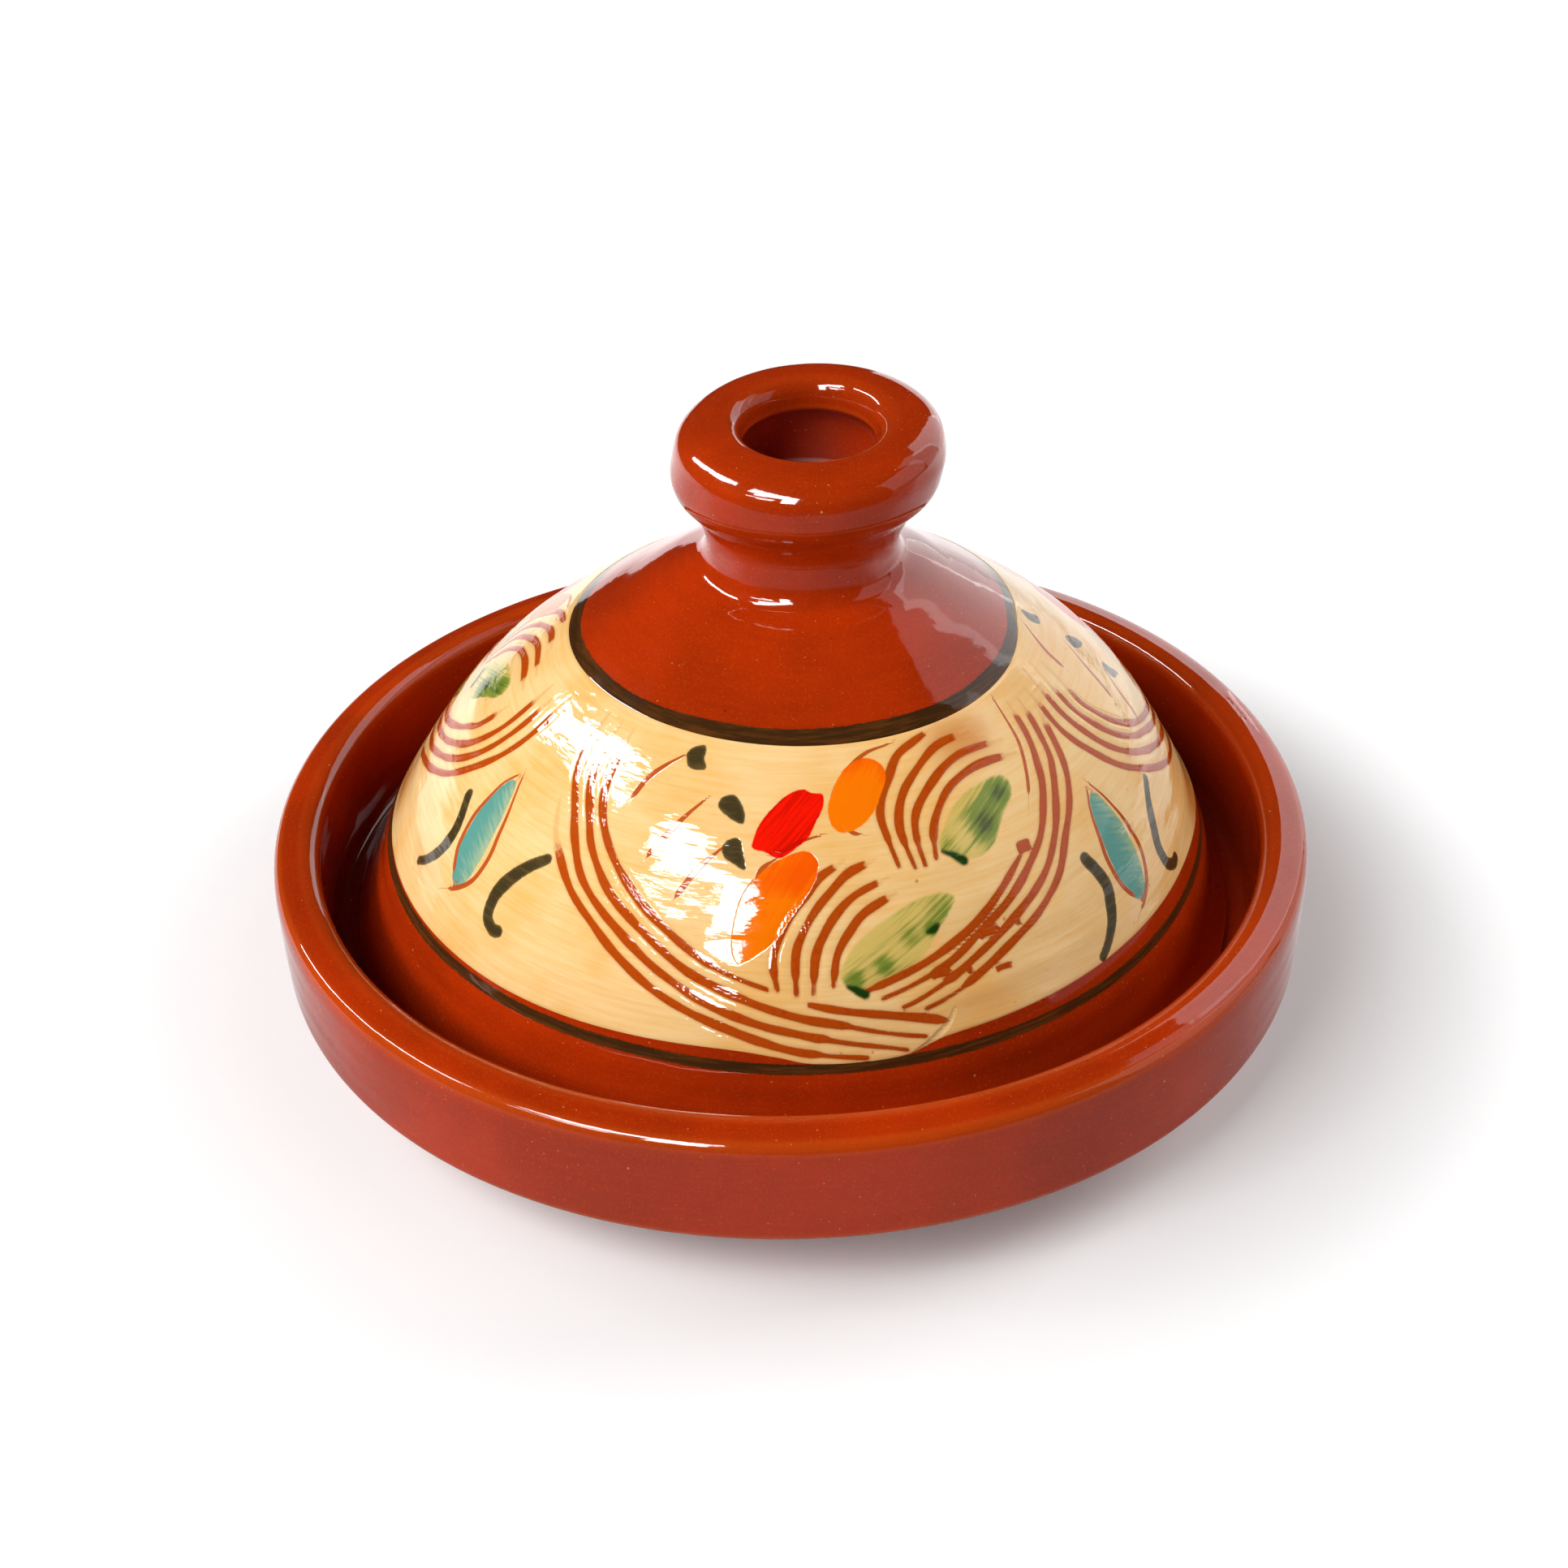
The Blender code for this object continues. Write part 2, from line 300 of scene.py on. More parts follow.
def make_mesh(name, points, face_blocks, uv_points):
    """A smooth mesh object from points and blocks of faces, with one UV place for each point."""
    mesh = bpy.data.meshes.new(name)
    corners = np.concatenate([block.reshape(-1) for block in face_blocks])
    sizes = np.concatenate([np.full(len(block), block.shape[1]) for block in face_blocks])
    mesh.vertices.add(len(points))
    mesh.vertices.foreach_set("co", points.reshape(-1))
    mesh.loops.add(len(corners))
    mesh.loops.foreach_set("vertex_index", corners)
    mesh.polygons.add(len(sizes))
    mesh.polygons.foreach_set("loop_start", np.cumsum(sizes) - sizes)
    mesh.polygons.foreach_set("loop_total", sizes)
    mesh.update(calc_edges=True)
    mesh.validate()
    mesh.shade_smooth()
    unwrapped = mesh.uv_layers.new(name="OFBake")
    unwrapped.data.foreach_set("uv", uv_points[corners].reshape(-1))
    piece = bpy.data.objects.new(name, mesh)
    bpy.context.scene.collection.objects.link(piece)
    return piece


def set_field(piece, name, values):
    """Keeps one number, or three, for each point of the piece, for its material to read."""
    kind = "FLOAT" if values.ndim == 1 else "FLOAT_VECTOR"
    field = piece.data.attributes.new(name, kind, "POINT")
    field.data.foreach_set("value" if kind == "FLOAT" else "vector", values.astype(np.float32).reshape(-1))


# Middle and radius of the discs that a turned piece's outside and inside are unwrapped to
OUTSIDE_DISC = ((0.37, 0.37), 0.36)
INSIDE_DISC = ((0.79, 0.79), 0.2)


def disc_places(share, angles, middle, size):
    """UV places on a disc: this share of the way from its middle to its edge, at these angles."""
    reach = size * share
    return np.stack((middle[0] + reach * np.sin(angles), middle[1] - reach * np.cos(angles)), axis=-1)


class Wire:
    """One output of a material's nodes, used in plain sums: a + b, 1 - a, a * 0.5, a < 0.3."""

    def __init__(self, tree, socket=None):
        self.tree = tree
        self.socket = socket

    def node(self, kind, inputs=None, out=0, **settings):
        """A new node in the same material, and the output of it that is asked for."""
        made = self.tree.nodes.new("ShaderNode" + kind)
        for name, value in settings.items():
            setattr(made, name, value)
        for name, value in (inputs or {}).items():
            if isinstance(value, Wire):
                self.tree.links.new(value.socket, made.inputs[name])
            else:
                made.inputs[name].default_value = value
        return Wire(self.tree, made.outputs[out])

    def sum(self, operation, *values):
        return self.node("Math", dict(enumerate(values)), operation=operation)

    def __add__(self, other):
        return self.sum("ADD", self, other)

    def __sub__(self, other):
        return self.sum("SUBTRACT", self, other)

    def __rsub__(self, other):
        return self.sum("SUBTRACT", other, self)

    def __mul__(self, other):
        return self.sum("MULTIPLY", self, other)

    def __pow__(self, other):
        return self.sum("POWER", self, other)

    def __lt__(self, other):
        return self.sum("LESS_THAN", self, other)

    def __abs__(self):
        return self.sum("ABSOLUTE", self)

    __radd__ = __add__
    __rmul__ = __mul__

    def least(self, other):
        return self.sum("MINIMUM", self, other)

    def rise(self, low, high, first=0.0, last=1.0):
        """An even curve from first, where this is at low, to last, where it is at high."""
        inputs = {"Value": self, "From Min": low, "From Max": high, "To Min": first, "To Max": last}
        return self.node("MapRange", inputs, interpolation_type="SMOOTHSTEP")

    def scaled(self, x, y, z):
        """These places stretched by a factor along each axis."""
        return self.node("VectorMath", {0: self, 1: (x, y, z)}, operation="MULTIPLY")

    def noise(self, scale, detail=3.0, roughness=0.5):
        """Cloudy grey at these places, mostly between 0.3 and 0.7."""
        inputs = {"Vector": self, "Scale": scale, "Detail": detail, "Roughness": roughness}
        return self.node("TexNoise", inputs)

    def field(self, name, out="Fac"):
        """A number that the mesh keeps for each of its points."""
        return self.node("Attribute", out=out, attribute_name=name)

    def parts(self):
        """The three numbers of a vector."""
        first = self.node("SeparateXYZ", {0: self})
        node = first.socket.node
        return [Wire(self.tree, node.outputs[i]) for i in range(3)]

    def blend(self, under, over):
        """The colour under, covered by the colour over as far as this wire says."""
        under, over = [colour if isinstance(colour, Wire) else (*colour, 1.0) for colour in (under, over)]
        return self.node("Mix", {0: self, 6: under, 7: over}, out=2, data_type="RGBA", clamp_factor=True)


def object_places(tree):
    """Places on the piece that a material is on, in millimetres."""
    return Wire(tree).node("TexCoord", out="Object").scaled(1 / MM, 1 / MM, 1 / MM)


GLAZE_IOR = 1.5


def new_material(name):
    """An empty glazed material, the places on its piece in millimetres, and a call that finishes it."""
    made = bpy.data.materials.new(name)
    made.use_nodes = True
    tree = made.node_tree
    shader = tree.nodes["Principled BSDF"]
    shader.inputs["IOR"].default_value = GLAZE_IOR
    places = object_places(tree)

    def finish(colour, roughness, height):
        """Connects colour, roughness and a surface height in millimetres to the shader."""
        bump = places.node("Bump", {"Height": height, "Distance": MM})
        for socket, wire in (("Base Color", colour), ("Roughness", roughness), ("Normal", bump)):
            tree.links.new(wire.socket, shader.inputs[socket])
        return made

    return places, finish


CLAY_LIT = (0.46, 0.029, 0.0011)
CLAY_DEEP = (0.295, 0.020, 0.0013)
CLAY_THIN = (0.60, 0.095, 0.008)
CLAY_BARE = (0.50, 0.20, 0.10)
SPECK_PALE = (0.75, 0.36, 0.14)
SPECK_DARK = (0.09, 0.010, 0.002)
OXIDE = (0.034, 0.017, 0.0045)
OXIDE_THIN = (0.10, 0.035, 0.007)
# Specks in the clay: how dense, their radius where they fade, the scale of the clouds that they keep to and
# where in them, how strong, and their colour
CLAY_SPECKS = [
    (0.42, (0.04, 0.11), 0.07, (0.42, 0.6), 0.45, SPECK_PALE),
    (0.14, (0.02, 0.055), 0.05, (0.5, 0.6), 0.7, SPECK_PALE),
    (0.19, (0.02, 0.09), 0.09, (0.52, 0.62), 0.7, SPECK_DARK)]


def specks(places, scale, fade, cloud_scale, clouds, detail=2.0):
    """1 in round specks that are strewn in clouds, 0 between them."""
    strewn = places.node("TexVoronoi", {"Vector": places, "Scale": scale}).rise(*fade, 1.0, 0.0)
    return strewn * places.noise(cloud_scale, detail).rise(*clouds)


def clay_colour(places):
    """Red clay under clear glaze: cloudy firing, lines left by the wheel, pale grit and dark iron specks."""
    clouds = places.noise(0.028, 3.0, 0.55)
    wheel_lines = places.scaled(0.05, 0.05, 1.1).noise(1.0, 5.0, 0.65)
    tone = clouds.rise(0.35, 0.68, 0.15, 1.0) * 0.72 + wheel_lines.rise(0.25, 0.75) * 0.28
    colour = tone.blend(CLAY_DEEP, CLAY_LIT)
    grain = places.noise(1.6, 4.0, 0.8)
    colour = grain.rise(0.52, 0.72, 0.0, 0.48).blend(colour, CLAY_THIN)
    colour = grain.rise(0.28, 0.46, 0.55, 0.0).blend(colour, CLAY_DEEP)
    for scale, fade, cloud_scale, inside_clouds, strength, speck in CLAY_SPECKS:
        colour = (specks(places, scale, fade, cloud_scale, inside_clouds) * strength).blend(colour, speck)
    return colour


def pooled_colour(places, colour, thinned):
    """Darker where the glaze pooled in hollows, and as pale as thinned says where it ran off ridges."""
    pooled = places.field("pooled")
    colour = pooled.rise(0.0, 1.0, 0.0, 0.55).blend(colour, CLAY_DEEP)
    return (0 - pooled).rise(0.0, 1.0, 0.0, thinned).blend(colour, CLAY_THIN)


def glaze_height(places, strength):
    """Relief of the glaze in millimetres: slow waves, the wheel's lines under it and a fine orange peel."""
    waves = places.scaled(1.0, 1.0, 1.6).noise(0.045, 1.0, 0.4) * 0.42
    ripple = places.noise(0.22, 1.0, 0.5) * 0.055
    wheel_lines = places.scaled(0.05, 0.05, 0.42).noise(1.0, 2.0, 0.4) * 0.045
    peel = places.noise(1.1, 1.0, 0.5) * 0.006
    return (waves + ripple + wheel_lines + peel) * strength


def lid_wobble(angles, radius, height):
    """How far the thrown wall is off its circle: slightly oval, with the fingers' low spiral."""
    oval = 0.18 * np.sin(2 * angles + 0.7) + 0.08 * np.sin(3 * angles + 0.04 * height)
    spiral = 0.07 * np.sin(2 * math.pi * height / 7.5 + angles)
    return (oval + spiral) * smooth_step(0.0, CUP_RADIUS, radius)


# Slants, by the angle round the lid, of the two dark rings and of the slip's edges. They drift round the
# cone, because the lid leaned after it was painted. The slip starts at the lower edge of the top ring, and
# its own lower edge was wiped off by hand above the bottom ring
TOP_RING = [(-140, 32.1), (-95, 32.6), (-60, 32.5), (-20, 32.4), (20, 32.5), (40, 32.0), (60, 30.9),
            (75, 29.4), (88, 28.5), (120, 28.8), (175, 30.8)]
SLIP_TOP = [(-140, 35.4), (-95, 36.1), (-60, 35.6), (-40, 35.7), (-20, 36.1), (0, 36.5), (20, 36.5),
            (40, 35.9), (60, 34.3), (75, 32.4), (88, 31.0), (120, 31.4), (175, 33.9)]
BOTTOM_RING = [(-150, 108.6), (-90, 108.4), (-40, 107.9), (-20, 107.7), (0, 108.5), (20, 108.8),
               (40, 109.0), (60, 108.7), (90, 109.0), (140, 108.2)]
SLIP_FOOT = [(-175, 107), (-150, 108.3), (-120, 106.8), (-95, 109), (-75, 108.3), (-55, 107.6),
             (-40, 107.1), (-20, 106.1), (-9, 106.0), (-3, 107.2), (2, 108.9), (12, 109.1), (16, 107.4),
             (19, 106.5), (28, 106.0), (40, 105.5), (55, 105), (70, 105.3), (82, 107.2), (95, 109),
             (125, 106.3), (150, 108.2)]
TOP_RING_WAVE = 0.12
TOP_RING_OVERLAP = 1.0
BOTTOM_RING_WIDTH = 2.4
# The clay is cut back under the slip, so that the coat lies in it
RECESS_DEPTH = 0.9
RECESS_FROM = (0.8, 3.0)
RECESS_DROP = 0.6
# The farthest from a ring's edge that is kept, and how strongly a bend in the outline pools the glaze
RING_REACH = 5.0
POOLING_GAIN = 2.2


def round_the_lid(degrees, drawn):
    """Slants at these angles on the closed smooth line drawn through (angle, slant) places."""
    line = spline([(angle - 360, slant) for angle, slant in drawn[-2:]] + drawn
                  + [(angle + 360, slant) for angle, slant in drawn[:2]])
    return np.interp(degrees, line[:, 0], line[:, 1])


def round_body(name, line, grid, outside_rows):
    """A closed turned piece, unwrapped as two discs: its outside up to outside_rows, then its inside."""
    lengths = line_lengths(line)[:, None]
    outside_end = lengths[outside_rows - 1]
    angles = round_angles(grid.shape[1])
    outside = disc_places(lengths[:outside_rows] / outside_end, angles, *OUTSIDE_DISC)
    share = (lengths[-1] - lengths[outside_rows:]) / (lengths[-1] - outside_end)
    inside = disc_places(share, angles, *INSIDE_DISC)
    return closed_mesh(name, grid, np.concatenate((outside, inside)))


def pooling(line, steps):
    """Where the glaze ran thick, in hollows, or thin, over ridges, from the bend of the outline."""
    along = np.gradient(line, axis=0)
    heading = np.unwrap(np.arctan2(along[:, 1], along[:, 0]))
    bend = np.gradient(heading) / np.maximum(np.gradient(line_lengths(line)), 0.05)
    kernel = np.exp(-np.linspace(-2, 2, 9)**2)
    bend = np.convolve(bend, kernel / kernel.sum(), mode="same")
    bend = np.clip(bend * POOLING_GAIN, -1.0, 1.0)
    bend[[0, -1]] = 0.0
    return per_point(np.repeat(bend[:, None], steps, axis=1))


def lid_shape(grid):
    """The turned lid with its wall cut back under the slip, then leaned."""
    cover = np.minimum(lid_slants - coat_start, coat_end - lid_slants)
    recess = RECESS_DEPTH * smooth_step(*RECESS_FROM, cover)
    radial = grid[..., :2]
    factor = 1.0 - recess / np.maximum(np.linalg.norm(radial, axis=-1), 1.0)
    return lean(np.concatenate((radial * factor[..., None], grid[..., 2:] - recess[..., None] * RECESS_DROP),
                               axis=-1))


def lid_material():
    """Glazed clay with two rings of dark oxide, brushed on while the lid turned on the wheel."""
    places, finish = new_material("lid_glazed_clay")
    rough_edge = (places.noise(0.8, 3.0, 0.6) - 0.5) * 0.6
    inside_ring = (places.field("rings") + rough_edge).rise(-0.2, 0.25, 1.0, 0.0)
    streaks = places.scaled(0.07, 0.07, 1.5).noise(1.0, 4.0, 0.7)
    oxide = streaks.rise(0.42, 0.68).blend(OXIDE, OXIDE_THIN)
    colour = pooled_colour(places, (inside_ring * 0.97).blend(clay_colour(places), oxide), 0.22)
    roughness = places.noise(0.12, 3.0).rise(0.3, 0.7, 0.035, 0.075)
    roughness = roughness + places.field("cup_floor") * CUP_FLOOR_ROUGHNESS
    return finish(colour, roughness, glaze_height(places, 1.0))


# First and last slant and number of the cone's rows: fine ones under its rings and at the slip's edges, and
# coarse ones where the slip hides it
CONE_ROWS = ((0.0, 40.0, 56), (42.0, 102.0, 13), (103.0, CONE_LENGTH, 50))

cone_slants = np.concatenate([np.linspace(*rows) for rows in CONE_ROWS])
inside_points = inside_line()
lid_line = join(knob_line(), on_cone(cone_slants), inside_points)
outside_rows = len(lid_line) - len(inside_points) + 1
# The slant of each row. Rows off the cone get one just past its ends, which no ring and no slip reaches
lid_slants = np.full((len(lid_line), 1), -1.0)
lid_slants[outside_rows - len(cone_slants):outside_rows, 0] = cone_slants
lid_slants[outside_rows:] = CONE_LENGTH + 1.0
lid_degrees = np.degrees(round_angles(LID_STEPS))
coat_start, coat_end = round_the_lid(lid_degrees, SLIP_TOP), round_the_lid(lid_degrees, SLIP_FOOT)

lid = round_body("lid_clay", lid_line, lid_shape(turned_grid(lid_line, LID_STEPS, lid_wobble)), outside_rows)
top_start = TOP_RING_WAVE * np.sin(np.radians(lid_degrees) * 9 + 2.0) + round_the_lid(lid_degrees, TOP_RING)
top_ring = np.maximum(top_start - lid_slants, lid_slants - coat_start - TOP_RING_OVERLAP)
bottom_start = round_the_lid(lid_degrees, BOTTOM_RING)
bottom_ring = np.maximum(bottom_start - lid_slants, lid_slants - bottom_start - BOTTOM_RING_WIDTH)
cup_floor = np.where(np.arange(len(lid_line)) < CUP_FLOOR_ROWS, 1.0, 0.0)
set_field(lid, "rings", per_point(np.clip(np.minimum(top_ring, bottom_ring), -RING_REACH, RING_REACH)))
set_field(lid, "pooled", pooling(lid_line, LID_STEPS))
set_field(lid, "cup_floor", per_point(np.repeat(cup_floor[:, None], LID_STEPS, axis=1)))
lid.data.materials.append(lid_material())
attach(lid, "lid")
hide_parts("lid")


# Slip. A coat of cream liquid clay, brushed round the cone between the two dark rings, then scratched
# through with a four-toothed comb and painted with coloured glazes before the clear glaze went on.
SLIP_STEPS = 800
SLIP_ROWS = 112
UNDER_ROWS = 6
SLIP_THICKNESS = 0.16
# The coat's edge slopes down into the clay over this width and to this depth
SLIP_EDGE_WIDTH = 0.9
SLIP_EDGE_DEPTH = 0.12
UNDER_DEPTH = 0.6
UNDER_SLOPE = 0.3
GROOVE_HALF = 1.0
GROOVE_DEPTH = 0.17
GROOVE_SIDE = (-0.9, 0.5)
# The share of a groove's depth where a tooth only pressed the slip
GROOVE_PRESSED = 0.3
# How far round each kind of mark its distance is worked out. A point that no mark reaches has the value FAR
COMB_REACH = 3.5
CHIP_REACH = 2.0
SCRATCH_REACH = 2.6
DAB_REACH = 4.0
BRUSH_REACH = 4.5
TONE_REACH = 1.5
FAR = 9.0
PETAL_SCRATCH_WIDTH = 1.0
DAB_SCRATCH_WIDTH = 1.35
BLUE_SCRATCH_WIDTH = 1.3

slip_angles = round_angles(SLIP_STEPS)
slip_degrees = np.degrees(slip_angles)
slip_start, slip_end = round_the_lid(slip_degrees, SLIP_TOP), round_the_lid(slip_degrees, SLIP_FOOT)
slip_share = np.linspace(0.0, 1.0, SLIP_ROWS)[:, None]
slip_slants = slip_start + slip_share * (slip_end - slip_start)
middle_radius = (CONE_LINE[1:, 0] + CONE_LINE[:-1, 0]) / 2
CONE_SPREAD = np.concatenate(([0.0], np.cumsum(np.diff(CONE_SLANTS) / middle_radius)))


def flat_places(degrees, slants):
    """Places on the cone unrolled so that small shapes keep their form: angle, and slant over radius."""
    return np.stack((np.radians(degrees), np.interp(slants, CONE_SLANTS, CONE_SPREAD)), axis=-1)


def cone_radius(slants):
    """Radius of the cone's outside at these slants."""
    return np.interp(slants, CONE_SLANTS, CONE_LINE[:, 0])


slip_radius = cone_radius(slip_slants)
slip_flat = flat_places(np.broadcast_to(slip_degrees, slip_slants.shape), slip_slants)


def near(flat_line, reach):
    """The slip's points within reach of a line: which ones, and where they lie beside it, unrolled."""
    middle = (flat_line[:, 0].min() + flat_line[:, 0].max()) / 2
    turned = (slip_flat[..., 0] - middle + math.pi) % (2 * math.pi) - math.pi + middle
    margin = reach / slip_radius
    close = ((turned > flat_line[:, 0].min() - margin) & (turned < flat_line[:, 0].max() + margin)
             & (slip_flat[..., 1] > flat_line[:, 1].min() - margin)
             & (slip_flat[..., 1] < flat_line[:, 1].max() + margin))
    rows = np.nonzero(close)
    return rows, np.stack((turned[rows], slip_flat[..., 1][rows]), axis=-1), slip_radius[rows]


def beside(flat_line, reach, closed=False):
    """For the slip's points near a line: which, signed distance across it and way along it, in mm."""
    rows, places, radius = near(flat_line, reach)
    ends = np.vstack((flat_line, flat_line[:1])) if closed else flat_line
    start, step = ends[:-1], np.diff(ends, axis=0)
    length = np.linalg.norm(step, axis=1)
    before = np.concatenate(([0.0], np.cumsum(length)))[:-1]
    away = places[:, None, :] - start[None]
    share = np.clip((away * step).sum(-1) / np.maximum(length**2, 1e-12), 0.0, 1.0)
    gap = away - share[..., None] * step
    distance = np.linalg.norm(gap, axis=-1)
    nearest = distance.argmin(axis=1)
    pick = (np.arange(len(places)), nearest)
    side = np.sign(step[nearest, 0] * gap[pick][:, 1] - step[nearest, 1] * gap[pick][:, 0])
    along = before[nearest] + share[pick] * length[nearest]
    return rows, distance[pick] * radius * np.where(side == 0, 1, side), along * radius, places


def outline_field(points, reach):
    """Signed distance in mm from a closed outline given as (degrees, slant), less than 0 inside it."""
    curve = spline(points, closed=True)
    flat = flat_places(curve[:, 0], curve[:, 1])
    rows, distance, _, places = beside(flat, reach, closed=True)
    following = np.roll(flat, -1, axis=0)
    x, y = places[:, :1], places[:, 1:]
    crosses = (flat[None, :, 1] > y) != (following[None, :, 1] > y)
    rise = np.where(following[:, 1] == flat[:, 1], 1e-9, following[:, 1] - flat[:, 1])
    at = flat[None, :, 0] + (y - flat[None, :, 1]) / rise * (following[:, 0] - flat[:, 0])
    inside = (crosses & (x < at)).sum(axis=1) % 2 == 1
    return rows, np.where(inside, -np.abs(distance), np.abs(distance))


def new_field(value=FAR):
    """A number for each of the slip's points, the same everywhere to start with."""
    return np.full(slip_slants.shape, value)


groove = new_field()
groove_cut = new_field(0.0)
scratch = np.stack((new_field(), new_field(0.0), new_field()), axis=-1)
paint = {colour: new_field() for colour in ("red", "orange", "green", "green_dark", "blue", "black", "ridge")}
tone = np.stack((new_field(0.0), new_field(0.0), new_field(0.0)), axis=-1)
# How golden each point of the slip is, for thinner slip and for painted shade
thin_slip_and_shade = new_field(0.0)
leaf_depth = new_field(0.0)


def turned_by(points, degrees, down=0.0):
    """The same points further round the lid, and further down it."""
    return [(point[0] + degrees, point[1] + down) for point in points]


def only(rows, chosen):
    """Those of the slip's points that are chosen."""
    return tuple(axis[chosen] for axis in rows)


def beside_path(path, reach):
    """For the slip's points near a drawn path: which, distance across it, way along it, and its length."""
    curve = spline(path)
    flat = flat_places(curve[:, 0], curve[:, 1])
    rows, distance, along, _ = beside(flat, reach)
    return rows, distance, along, line_lengths(flat)[-1] * cone_radius(curve[:, 1]).mean()


def cut_slip(rows, edge, cut):
    """Cuts the slip, with edge the distance from the cut's side, where no other cut is nearer."""
    closer = edge < groove[rows]
    groove[only(rows, closer)] = edge[closer]
    groove_cut[only(rows, closer)] = cut[closer]


def comb_tooth(path, faint, seed):
    """The groove of one tooth: it first presses the slip, and cuts to the clay after the faint length."""
    rows, distance, along, total = beside_path(path, COMB_REACH)
    wobble = 0.09 * np.sin(along / 5.3 + seed) + 0.06 * np.sin(along / 1.9 + 2.3 * seed)
    taper = smooth_step(-2.0, 7.0, along) * smooth_step(-1.0, 2.0, total - along)
    edge = np.abs(distance) - GROOVE_HALF * (1.0 + wobble) * (0.55 + 0.45 * taper)
    cut_slip(rows, edge, smooth_step(0.3 * faint, faint, along) if faint > 0 else np.ones_like(along))


def comb(teeth, degrees=0.0, down=0.0):
    """A stroke of the comb: the path and the faint length of each tooth."""
    for number, (path, faint) in enumerate(teeth):
        comb_tooth(turned_by(path, degrees, down), faint, 1.7 * number + path[0][0])


def chip(degrees, slant, width, height):
    """A flake of slip broken out beside a groove."""
    corners = [(-0.5, -0.42), (0.1, -0.5), (0.5, -0.35), (0.42, 0.3), (0.5, 0.5), (-0.2, 0.42), (-0.5, 0.5)]
    radius = cone_radius(slant)
    rows, edge = outline_field([(degrees + math.degrees(width * x / radius), slant + height * y)
                                for x, y in corners], CHIP_REACH)
    cut_slip(rows, edge, np.ones_like(edge))


def scratch_line(path, width):
    """A line scratched with a pointed tool, fine at its start and wider at its end."""
    rows, distance, along, total = beside_path(path, SCRATCH_REACH)
    half = width / 2 * (0.45 + 0.55 * smooth_step(0.0, 0.5, along / total))
    half = half * smooth_step(-0.5, 1.5, total - along) + 0.02
    distance_only = np.abs(distance)
    closer = distance_only < scratch[rows][:, 2]
    scratch[only(rows, closer)] = np.stack((distance, half, distance_only), axis=-1)[closer]


def dab(colour, outline, tip, seed):
    """A dab of painted glaze: its outline, the place it was drawn towards, and a number of its own."""
    rows, edge = outline_field(outline, DAB_REACH)
    layer = paint[colour]
    layer[rows] = np.minimum(layer[rows], edge)
    middle = flat_places(*np.array(outline, float).mean(axis=0))
    axis = flat_places(*tip) - middle
    axis /= np.linalg.norm(axis)
    _, places, radius = near(flat_places(*spline(outline, closed=True).T), DAB_REACH)
    away = (places - middle) * radius[:, None]
    across = np.array((-axis[1], axis[0]))
    strokes = np.stack((away @ axis, away @ across, np.full(len(away), float(seed))), axis=-1)
    own = edge < TONE_REACH
    tone[only(rows, own)] = strokes[own]


def brush_line(colour, path, widths):
    """A painted stroke along a path, with its half width in mm at its start, middle and end."""
    rows, distance, along, total = beside_path(path, BRUSH_REACH)
    half = np.interp(along / total, (0.0, 0.5, 1.0), widths)
    layer = paint[colour]
    layer[rows] = np.minimum(layer[rows], np.abs(distance) - half)


def around_from(degrees):
    """How far each column of the slip's points lies round the lid from this angle, in radians."""
    return np.radians((slip_degrees - degrees + 180) % 360 - 180)


# The comb's strokes, as (angle, slant) places along each tooth and the length over which it only presses
LEFT_COMB = [
    ([(-39.8, 40), (-39.4, 46), (-38.9, 51), (-37.6, 56.5), (-35, 62.5), (-30, 69.8), (-25, 75.7),
      (-20, 80.7), (-15, 85.3), (-10, 89), (-4.5, 92)], 12),
    ([(1, 95.3), (5, 97), (10, 98.8), (15, 101), (18.5, 103)], 0),
    ([(-43.6, 40), (-43.2, 48), (-42, 54), (-38, 62.5), (-35, 68.5), (-30, 75.7), (-25, 80.7), (-20, 85.3),
      (-15, 89.8), (-10, 93), (-5, 95.8), (0, 98.3), (5, 100.3), (10, 102.8), (15.5, 105.3)], 16),
    ([(-48.3, 39.5), (-47.6, 47.5), (-45.5, 55), (-42, 61.5), (-38.5, 68.5), (-35, 75), (-30, 80.6),
      (-25, 85.2), (-20, 90), (-15, 94), (-10, 97.3), (-5, 100), (0, 102), (5, 104), (10, 106),
      (13, 107.5)], 16),
    ([(-45.5, 62), (-42.5, 69), (-40, 73), (-35, 79.8), (-30, 84.8), (-25, 90), (-20, 94.5), (-15, 98),
      (-10, 100.8), (-5, 103.5), (0, 105.8), (8, 108)], 20)]
RIGHT_COMB = [
    ([(35.2, 72.8), (30, 78.3), (25, 83.3), (20, 87), (15, 90), (8, 93.5)], 0),
    ([(51.8, 40.5), (49.5, 51), (47.5, 56.5), (45, 62.5), (40, 71), (35, 76.8), (30, 81.8), (25, 85.8),
      (20, 90.3), (15, 93.3), (10.5, 95.3)], 6),
    ([(55.2, 41.5), (51.8, 55), (49.5, 60), (45, 68.5), (40, 76.7), (35, 82), (30, 86), (25, 89.8),
      (20, 93.8), (15, 97), (13, 98)], 7),
    ([(57.5, 46), (53, 60), (50, 66.3), (45, 73.5), (40, 81.5), (35, 86.5), (30, 90), (25, 93.8),
      (20, 97.3), (16, 99.3)], 8)]
